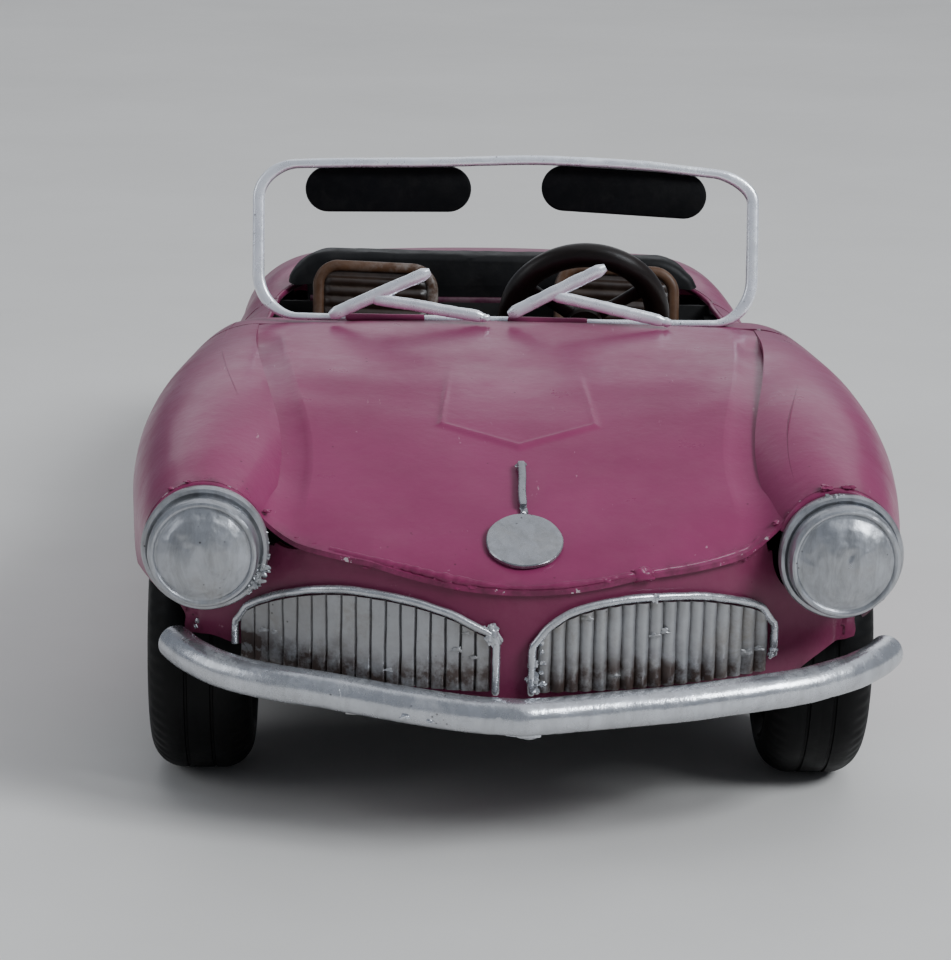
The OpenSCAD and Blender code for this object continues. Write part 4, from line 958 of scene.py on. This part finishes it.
bumper("front_bumper_tube", "front_bumper", FRONT_BUMPER_LEFT, FRONT_BUMPER_RIGHT, -53.5, 58.2, FRONT_END, -1, 5,
       [blob((0.6, -146.4, 21.95), (2.3, 1.5, 0.75), 4), blob((-1.8, -146.6, 22.2), (1.0, 0.9, 0.6), 6),
        blob((-27.2, -141.9, 26.2), (0.25, 0.3, 0.7), 8, 0.5), blob((-17.5, -145.4, 24.0), (0.7, 0.25, 0.28), 9, 0.5),
        blob((-13.6, -146.2, 23.6), (0.6, 0.25, 0.25), 10, 0.5)])
bumper("rear_bumper_tube", "rear_bumper", REAR_BUMPER, REAR_BUMPER, -54, 54, REAR_END, 1, 9)


# ---- badge and its spear

BADGE = [(0, 0.06), (5.7, 0.06), (5.85, 0.2), (5.85, 0.66), (5.7, 0.82), (5.3, 0.86), (4.5, 0.83), (2.5, 0.86),
         (0, 0.84)]
TRIM_X = 0.3


def on_bonnet(mesh, y, slope):
    """Moves a mesh on to the bonnet's middle line at y, tilted back by the slope there."""
    base = np.array([TRIM_X, y, float(bonnet_z(y, 0.0))])
    return mesh[0] @ about_x(math.radians(slope)).T + base, mesh[1]


def bonnet_trim():
    def out_of_round(a, r, h):
        return r * (1 + 0.008 * np.sin(3 * a + 1) + 0.005 * np.sin(7 * a))[:, None], h
    points, faces = lathe(smooth_profile(BADGE), (0, 0, 0), (0, 0, 1), 80, out_of_round)
    points = points + np.outer(0.035 * uneven(points, 0.5, 4, 3) * (points[:, 2] > 0.7), (0, 0, 1))
    # the badge and its spear in the darker silver: painted shade
    make("badge_disc", on_bonnet((points, faces), -134.3, 27.5), BADGE_SILVER_PAINTED_SHADE, replaces=("bonnet_badge",))
    half = 5.75
    n = np.linspace(-half, half, 26)
    path = np.stack([0.08 * np.sin(n * 0.6), n, np.full_like(n, 0.75)], -1)
    swell = np.minimum(1, 0.82 + 0.5 * np.minimum(n + half, half - n))
    bar = sweep(path, ring_section(0.62, 0.55, 16, 5), swell=swell * (1 + 0.05 * uneven(path, 0.8, 2)))
    solder = [blob((0.1, -6.4, 0.3), (0.7, 0.9, 0.35), 3), blob((0, 5.9, 0.3), (0.8, 0.8, 0.4), 5)]
    make("badge_bar", on_bonnet(join([bar] + solder), -121.1, 21), BADGE_SILVER_PAINTED_SHADE, replaces=("badge_spear",), rim=0.2)


bonnet_trim()


# ---- windscreen

SCREEN_FOOT, SCREEN_HEAD = np.array([-45.6, 65.4]), np.array([-38.6, 91.6])
SCREEN_X = (89 - 2.1) / 2
SCREEN_RISE = SCREEN_HEAD - SCREEN_FOOT
SCREEN_NORMAL = np.array([0, -SCREEN_RISE[1], SCREEN_RISE[0]]) / np.linalg.norm(SCREEN_RISE)
SCREEN_LEAN = math.atan2(SCREEN_RISE[0], SCREEN_RISE[1])


def screen_point(x, h):
    x, h = np.asarray(x, float), np.asarray(h, float)
    y = SCREEN_FOOT[0] + SCREEN_RISE[0] * h - 1.6 * (1 - (x / SCREEN_X) ** 2)
    return np.stack([x, y, SCREEN_FOOT[1] + SCREEN_RISE[1] * h], -1)


# how far the top rail is bent up or down, as (x, share of the frame's height)
RAIL_BEND = [[-44, -0.043], [-31, -0.025], [-22, -0.015], [-13, -0.007], [-4.5, 0.003], [4.3, 0.016], [13, 0.007],
             [22, -0.011], [31, -0.0415], [39.5, -0.077], [44, -0.089]]


def screen_lift(x): return curve(RAIL_BEND, 1, x)


def screen_frame():
    r = 7.0
    q = r / float(np.linalg.norm(SCREEN_RISE))
    low_r, up_r, up_l, low_l = [np.radians(np.linspace(a, a + 90, 20)) for a in (-90, 0, 90, 180)]
    x, h = [], []

    def add(xs, hs, lift):
        x.extend(xs)
        h.extend(hs + screen_lift(xs) * lift)

    def sag(xs):
        return -0.015 - 0.018 * smooth((xs + 12) / 45)
    add(SCREEN_X - r + r * np.cos(low_r), q + q * np.sin(low_r) - 0.033 * np.sin(-low_r), 0)
    add(SCREEN_X - r + r * np.cos(up_r), 1 - q + q * np.sin(up_r), np.sin(up_r))
    span = np.linspace(SCREEN_X - r - 1, -SCREEN_X + r + 1, 80)
    add(span, np.ones(80), 1)
    add(-SCREEN_X + r + r * np.cos(up_l), 1 - q + q * np.sin(up_l), np.sin(up_l))
    add(-SCREEN_X + r + r * np.cos(low_l), q + q * np.sin(low_l) + 0.015 * np.sin(low_l), 0)
    span = np.linspace(-SCREEN_X + r + 1, SCREEN_X - r - 1, 70)
    add(span, sag(span), 0)
    path = screen_point(x, h)
    path[:, 0] -= 0.45 * smooth((path[:, 0] - 30) / 12)
    path = wobble(path, 0.09, 0.09, 1)
    # the rails are narrower than the posts, the bottom one most
    h = np.asarray(h)
    across = smooth((np.abs(h - 0.5) * 2 - 0.6) / 0.3) * smooth((SCREEN_X - 1 - np.abs(np.asarray(x))) / 6)
    width = 1 - across * np.where(h < 0.5, 0.42, 0.22)
    swell = np.stack([width * (1 + 0.04 * uneven(path, 0.3, 7)), 1 + 0.03 * uneven(path, 0.3, 8)], -1)
    frame_tube = sweep(path, ring_section(1.05, 1.0, 20, 3.4), up=SCREEN_NORMAL, closed=True, swell=swell)
    # the frame in the paler silver: painted reflection
    make("screen_frame", frame_tube, SCREEN_SILVER_PAINTED_REFLECTION, replaces=("windscreen_frame",),
         rim=patchy(frame_tube[0], 0.25, 0.25, 5, 0.25))
    # body paint that ran over the bottom rail
    parts = []
    for a, b in ((-28.7, -13.7), (-0.5, 14.4)):
        px = np.linspace(a, b, 50)
        line = screen_point(px, sag(px))
        k = np.minimum(1, 0.75 + 0.3 * np.minimum(px - a, b - px)) * (1 + 0.05 * uneven(line, 0.5, 3))
        parts.append(sweep(line, ring_section(0.70, 1.1, 16, 3), up=SCREEN_NORMAL, swell=k))
    make("rail_paint", join(parts), ENAMEL, rim=0.15)


def visor(name, at_x, tilt, seed):
    rings = []
    for inset, y in ((0.5, 0.0), (0.15, -0.08), (0, -0.3), (0, -0.7), (0.15, -0.92), (0.5, -1.0)):
        r = 4 - inset
        a = np.radians(np.concatenate([np.linspace(-90, 90, 24), np.linspace(90, 270, 24)]))
        cx = np.where(np.arange(48) < 24, 10.5, -10.5)
        rings.append(np.stack([cx + r * np.cos(a), np.full(48, y), r * np.sin(a)], -1))
    points, faces = grid(np.array(rings), closed_columns=True)
    faces += [tuple(range(48)), tuple(range(5 * 48 + 47, 5 * 48 - 1, -1))]
    points[:, 1] += 0.25 * np.sin(points[:, 0] / 9 + seed)
    t = math.radians(tilt)
    turn = np.array([[math.cos(t), 0, -math.sin(t)], [0, 1, 0], [math.sin(t), 0, math.cos(t)]])
    place = screen_point(at_x, 0.8) + np.array([0, 2.35, 0])
    points = points @ turn.T @ about_x(-SCREEN_LEAN).T + place
    make("visor_" + name, (points, faces), VISOR, replaces=("sun_visor_" + name,))


WIPER_Y = -50.2


def wiper(name, foot, fork, low, high, seed):
    """An arm from its foot to the fork and a blade from low to high, all as (x, z)."""
    def strip(a, b, r):
        n = np.linspace(0, 1, 30)[:, None]
        path = np.asarray(a) + (np.asarray(b) - np.asarray(a)) * n
        path = path + 0.14 * np.sin(math.pi * n) * np.array([0, -1, 0.6]) + 0.06 * uneven(path, 0.5, seed)[:, None]
        k = np.minimum(1, 0.55 + 8 * np.minimum(n, 1 - n))[:, 0]
        k = k * (1 + 0.06 * uneven(path, 0.7, seed + 1))
        return sweep(path, ring_section(r, r * 0.72, 14, 2.8), up=(0, -1, 0), swell=k)

    def at(place, ahead=0.0):
        return place[0], WIPER_Y - ahead, place[1]
    mesh = join([strip(at(foot, 1.1), at(fork, 0.2), 1.05), strip(at(low), at(high), 1.14),
                 blob(at(foot, 1.2), (1.0, 0.7, 0.75), seed + 1, 0.15)])
    # the wipers in the paler silver too: painted reflection
    make("wiper_arm_" + name, mesh, SCREEN_SILVER_PAINTED_REFLECTION, replaces=("wiper_" + name,),
         rim=patchy(mesh[0], 0.4, 0.5, seed, 0.4))


screen_frame()
visor("left", 20.4, -3, 1)
visor("right", -20.9, 0.5, 2.5)
wiper("left", (27.5, 65.7), (7.4, 70.1), (0.2, 66.4), (16.8, 75), 3)
wiper("right", (-3.9, 66.1), (-24.0, 69.2), (-30.8, 65.9), (-13.5, 73.9), 8)


# ---- cockpit

WHEEL_HUB = np.array([15, -20, 60.3])
LEAN = math.radians(23)
WHEEL_FRAME = np.array([[1, 0, 0], [0, math.sin(LEAN), -math.cos(LEAN)], [0, math.cos(LEAN), math.sin(LEAN)]])

WHEEL_BOSS = [(1.6, -2.9), (3.1, -2.9), (3.3, -2.2), (3.3, 0.2), (3.0, 1.6), (2.2, 2.6), (1.0, 3.05), (0, 3.15),
              (0, 2.2), (1.57, 2.2), (1.57, -2.9)]


def steering_wheel():
    a = np.linspace(0, 2 * math.pi, 144, endpoint=False)
    path = np.stack([13.4 * np.cos(a), 13.4 * np.sin(a), 0 * a], -1)
    parts = [sweep(path, ring_section(2.24, 2.12, 20), closed=True, swell=1 + 0.012 * uneven(path, 0.2, 4))]
    for k in (90, 210, 330):
        d = np.array([math.cos(math.radians(k)), math.sin(math.radians(k)), 0])
        n = np.linspace(2.0, 12.4, 24)[:, None]
        spoke = d * n + np.array([0, 0, 1]) * (-1.1 + 1.1 * smooth((n - 2) / 10))
        parts.append(sweep(spoke, ring_section(1.5, 0.7, 14, 3), swell=1 - 0.25 * np.sin(np.linspace(0, math.pi, 24))))
    parts.append(lathe(smooth_profile(WHEEL_BOSS), (0, 0, 0), (0, 0, 1), 48))
    points, faces = join(parts)
    make("steering_rim", (points @ WHEEL_FRAME + WHEEL_HUB, faces), WHEEL_BROWN, body="steering",
         replaces=("steering_wheel",))


def seat(name, flip, seed):
    w, h, r, lean = 24.0, 43.9, 5.0, -12
    back = about_x(math.radians(lean))
    at = np.array([23.2, 4.0, 19.0])
    slant = -0.035 if flip else 0.035

    def half_width(z):
        return w / 2 - r + np.sqrt(np.maximum(0, r ** 2 - np.maximum(0, z - (h - r)) ** 2))
    # the back: ribs across it inside a piped border
    z = (h - 0.02) * np.sin(np.linspace(0, math.pi / 2, 200))[:, None]
    u = np.linspace(-1, 1, 41)[None]
    x = u * half_width(z)
    inside = smooth((half_width(z) - 2.1 - np.abs(x)) / 0.8) * smooth((h - 2.8 - z) / 0.8)
    ribs = 0.55 * np.abs(np.sin(math.pi * z / 2.05)) ** 0.8
    front = 0.9 - inside * (0.15 + ribs) - 0.5 * (1 - u ** 2) * smooth((h - z) / 6)
    lift = 0.06 * uneven(np.stack([x, 0 * x, z + 0 * x], -1), 0.3, seed)
    outer = np.stack([x, front + lift, z + 0 * x], -1)
    inner = np.stack([x, 5.2 + 0 * x - 0.9 * (np.abs(u) ** 6), z + 0 * x], -1)
    slab = sheet(outer, inner)
    shift = np.array([0, 0.2, 2.0])
    rib_mask = np.concatenate([(inside * (1 - ribs / 0.55)).reshape(-1) * 0.8, np.zeros(inner[..., 0].size)])
    # the cushion
    cx = np.linspace(-1, 1, 40)[None]
    cy = np.linspace(0, 1, 70)[:, None]
    crown = (1 - np.abs(cx) ** 5) * (1 - np.abs(2 * cy - 1) ** 8)
    top = 10.8 + 2.6 * crown + 0.4 * np.abs(np.sin(math.pi * cy * 12)) * smooth(crown * 3)
    length_y = -25 + 24.8 * cy
    cushion = sheet(np.stack(np.broadcast_arrays(cx * w / 2, length_y, top), -1),
                    np.stack(np.broadcast_arrays(cx * w / 2, length_y, 0.05 + 0 * top), -1))

    def tip(p):
        """The top of the back is tipped sideways a little."""
        return p - np.outer(slant * p[:, 0] * smooth(p[:, 2] / 30), (0, 0, 1))
    whole = join([(tip(slab[0] + shift) @ back.T, slab[1]), cushion])
    rim = np.concatenate([rib_mask, np.full(len(cushion[0]), 0.15)])
    make("seat_back_" + name, (whole[0] + at, whole[1]), BROWN, replaces=("seat_" + name,), rim=rim, flip=flip,
         sharp=50)
    # the piping
    e = 1.05
    a = np.radians(np.linspace(180, 90, 16))
    left = [(-w / 2 + e, zz) for zz in np.linspace(0.5, h - r, 30)]
    arc_l = [(-w / 2 + r + (r - e) * math.cos(k), h - r + (r - e) * math.sin(k)) for k in a]
    line = np.array(left + arc_l)
    line = np.concatenate([line, (line * [-1, 1])[::-1]])
    path = np.stack([line[:, 0], np.full(len(line), 0.75), line[:, 1]], -1)
    pipe = sweep(path, ring_section(1.05, 0.8, 14), up=(0, -1, 0), swell=1 + 0.06 * uneven(path, 0.6, seed))
    # a pale patch on the upper inner side, full on the right seat: wear and a painted highlight
    worn = smooth((-2.5 - pipe[0][:, 0]) / 7) * smooth((pipe[0][:, 2] - 24) / 10)
    make("seat_piping_" + name, (tip(pipe[0] + shift) @ back.T + at, pipe[1]), PIPING,
         rim=worn * (1.0 if flip else 0.2), flip=flip)


def hood():
    def outline(inset):
        r = 9.0 - inset
        a = np.radians(np.linspace(166, 90, 26))
        half = [(-36.4 + inset, 40.0), (-36.4 + inset, 50.0), (-36.5 + inset, 56.9), (-37.5 + inset, 57.1)]
        half += [(-31.3 + r * math.cos(k), 55.0 + r * math.sin(k)) for k in a]
        half += [(xx, 64.0 - inset) for xx in np.linspace(-30, 0, 22)]
        half = np.array(half)
        return np.concatenate([half, (half * [-1, 1])[:-1][::-1]])
    rings = []
    for y, inset in ((25.5, 1.5), (25.75, 0.7), (26.3, 0.22), (27.2, 0.0), (28.5, 0.0), (29.8, 0.0), (30.7, 0.22),
                     (31.25, 0.7), (31.5, 1.5)):
        line = outline(inset)
        p = np.stack([line[:, 0], np.full(len(line), y), line[:, 1]], -1)
        fold = 0.28 * uneven(p * [0.5, 2.2, 1], 0.22, 6, 3) - 0.28
        p[:, 2] += (fold - 0.5 - 0.009 * p[:, 0]) * smooth((p[:, 2] - 57.5) / 4)
        p[:, 0] -= 0.4 * smooth((p[:, 2] - 56) / 2)
        rings.append(p)
    rings = np.array(rings)
    points, faces = grid(rings)
    n = rings.shape[1]
    k = len(rings) - 1
    faces += [tuple(range(n)), tuple(range(k * n + n - 1, k * n - 1, -1)),
              tuple([i * n for i in range(k, -1, -1)] + [i * n + n - 1 for i in range(k + 1)])]
    make("hood_band", (points, faces), BLACK, replaces=("hood_cover",))


def bulkhead():
    """The painted edge of the wall behind the seats, in the dark plum: painted shade."""
    x = np.linspace(-36, 36, 60)
    path = np.stack([x, np.full(60, 24.85), np.full(60, 54.3)], -1)
    mesh = sweep(path, ring_section(0.6, 0.72, 12, 3), swell=1 + 0.08 * uneven(path, 0.2, 3))
    make("bulkhead_edge", mesh, PLUM_PAINTED_SHADE, rim=0.3)


bulkhead()
steering_wheel()
seat("left", False, 4)
seat("right", True, 9)
hood()


# ---- wheels

HUB = [(0, -5), (4, -5), (4, -2), (12, -2), (12, -6.4), (13.6, -6.4), (14.5, -6.2), (14.5, 6.2), (14.3, 6.7),
       (13.7, 6.95), (13.1, 6.7), (12.5, 5.6), (11.6, 4.6), (10.6, 3.7), (9.4, 3.3), (8.4, 3.25), (7.9, 3.6),
       (7.5, 4.5), (6.9, 5.2), (5.6, 5.95), (3.8, 6.45), (2.0, 6.65), (0, 6.7)]


def wheel(where, name, y, x, body, flip, seed):
    centre = (x, y, AXLE_Z)

    def flutes(a, r, h):
        inside = smooth((r - 8.2) / 1.2) * smooth((12.2 - r) / 1.2) * (h > 2)
        return r, h - 0.45 * inside * (0.5 + 0.5 * np.cos(12 * a))[:, None]
    make("wheel_disc_%s_%s" % (where, name), lathe(smooth_profile(HUB, 4), centre, (1, 0, 0), 120, flutes), SILVER,
         body=body, replaces=("%s_hub_%s" % (where, name),), flip=flip)
    w, r, tyre_r = 8.25, 5.2, 23.0
    a = np.radians(np.linspace(0, 90, 14))
    bead = [(14.5, 6.3), (14.9, 6.9), (15.6, 7.2), (16.2, 7.9), (16.9, 8.22), (17.3, 8.0), (17.7, 8.2)]
    rounded = [(tyre_r - r + r * math.sin(k), w - r + r * math.cos(k)) for k in a]
    crown = [(tyre_r - 0.02, 2.9), (tyre_r - 0.05, 2.35), (tyre_r - 0.32, 2.2), (tyre_r - 0.32, 1.9),
             (tyre_r - 0.03, 1.75), (tyre_r, 0.35), (tyre_r - 0.02, 0.22)]
    half = bead + rounded + crown
    profile = half + [(q, -h) for q, h in half[::-1]]

    def worn(b, q, h):
        deep = smooth((q - 17) / 4)
        cut = smooth((q - 20.2) / 0.8) * smooth((22.6 - q) / 0.6)
        return q - 0.16 * cut * (np.cos(60 * b)[:, None] > 0.45) - 0.05 * deep * (1 + np.sin(7 * b + seed))[:, None], h
    make("tyre_%s_%s" % (where, name), lathe(profile, centre, (1, 0, 0), 360, worn), TYRE, body=body,
         replaces=("%s_tyre_%s" % (where, name),), flip=flip, sharp=28)


for side_name, flip, seed in (("left", False, 1), ("right", True, 2)):
    front_x = FRONT_WHEEL_RIGHT if flip else FRONT_WHEEL_LEFT
    wheel("front", side_name, FRONT_Y, front_x, "front_wheels", flip, seed)
    wheel("rear", side_name, REAR_Y, REAR_WHEEL, "rear_wheels", flip, seed + 2)


# ---- tail lamps

TAIL_LAMP = [(0, 0), (3.6, 0), (3.6, 1.5), (3.4, 1.75), (3.05, 1.8), (2.9, 1.65), (2.6, 2.1), (1.9, 2.75), (1.0, 3.1),
             (0, 3.2)]


def tail_lamp():
    """One lamp set on the tail's curve, and its mirror image."""
    r, x, z = 3.6, 35.0, 31.0
    run = tail_point(np.array(x + r), np.array(z)) - tail_point(np.array(x - r), np.array(z))
    a = math.atan2(run[1], run[0])
    axis = (-math.sin(a), math.cos(a), 0)
    points, faces = lathe(smooth_profile(TAIL_LAMP, 4), tail_point(np.array(x), np.array(z), -0.3), axis, 56)
    pair = join([(points, faces), (points * MIRROR, [f[::-1] for f in faces])])
    make("tail_lamps_pair", pair, SILVER, replaces=("tail_lamps",))


tail_lamp()
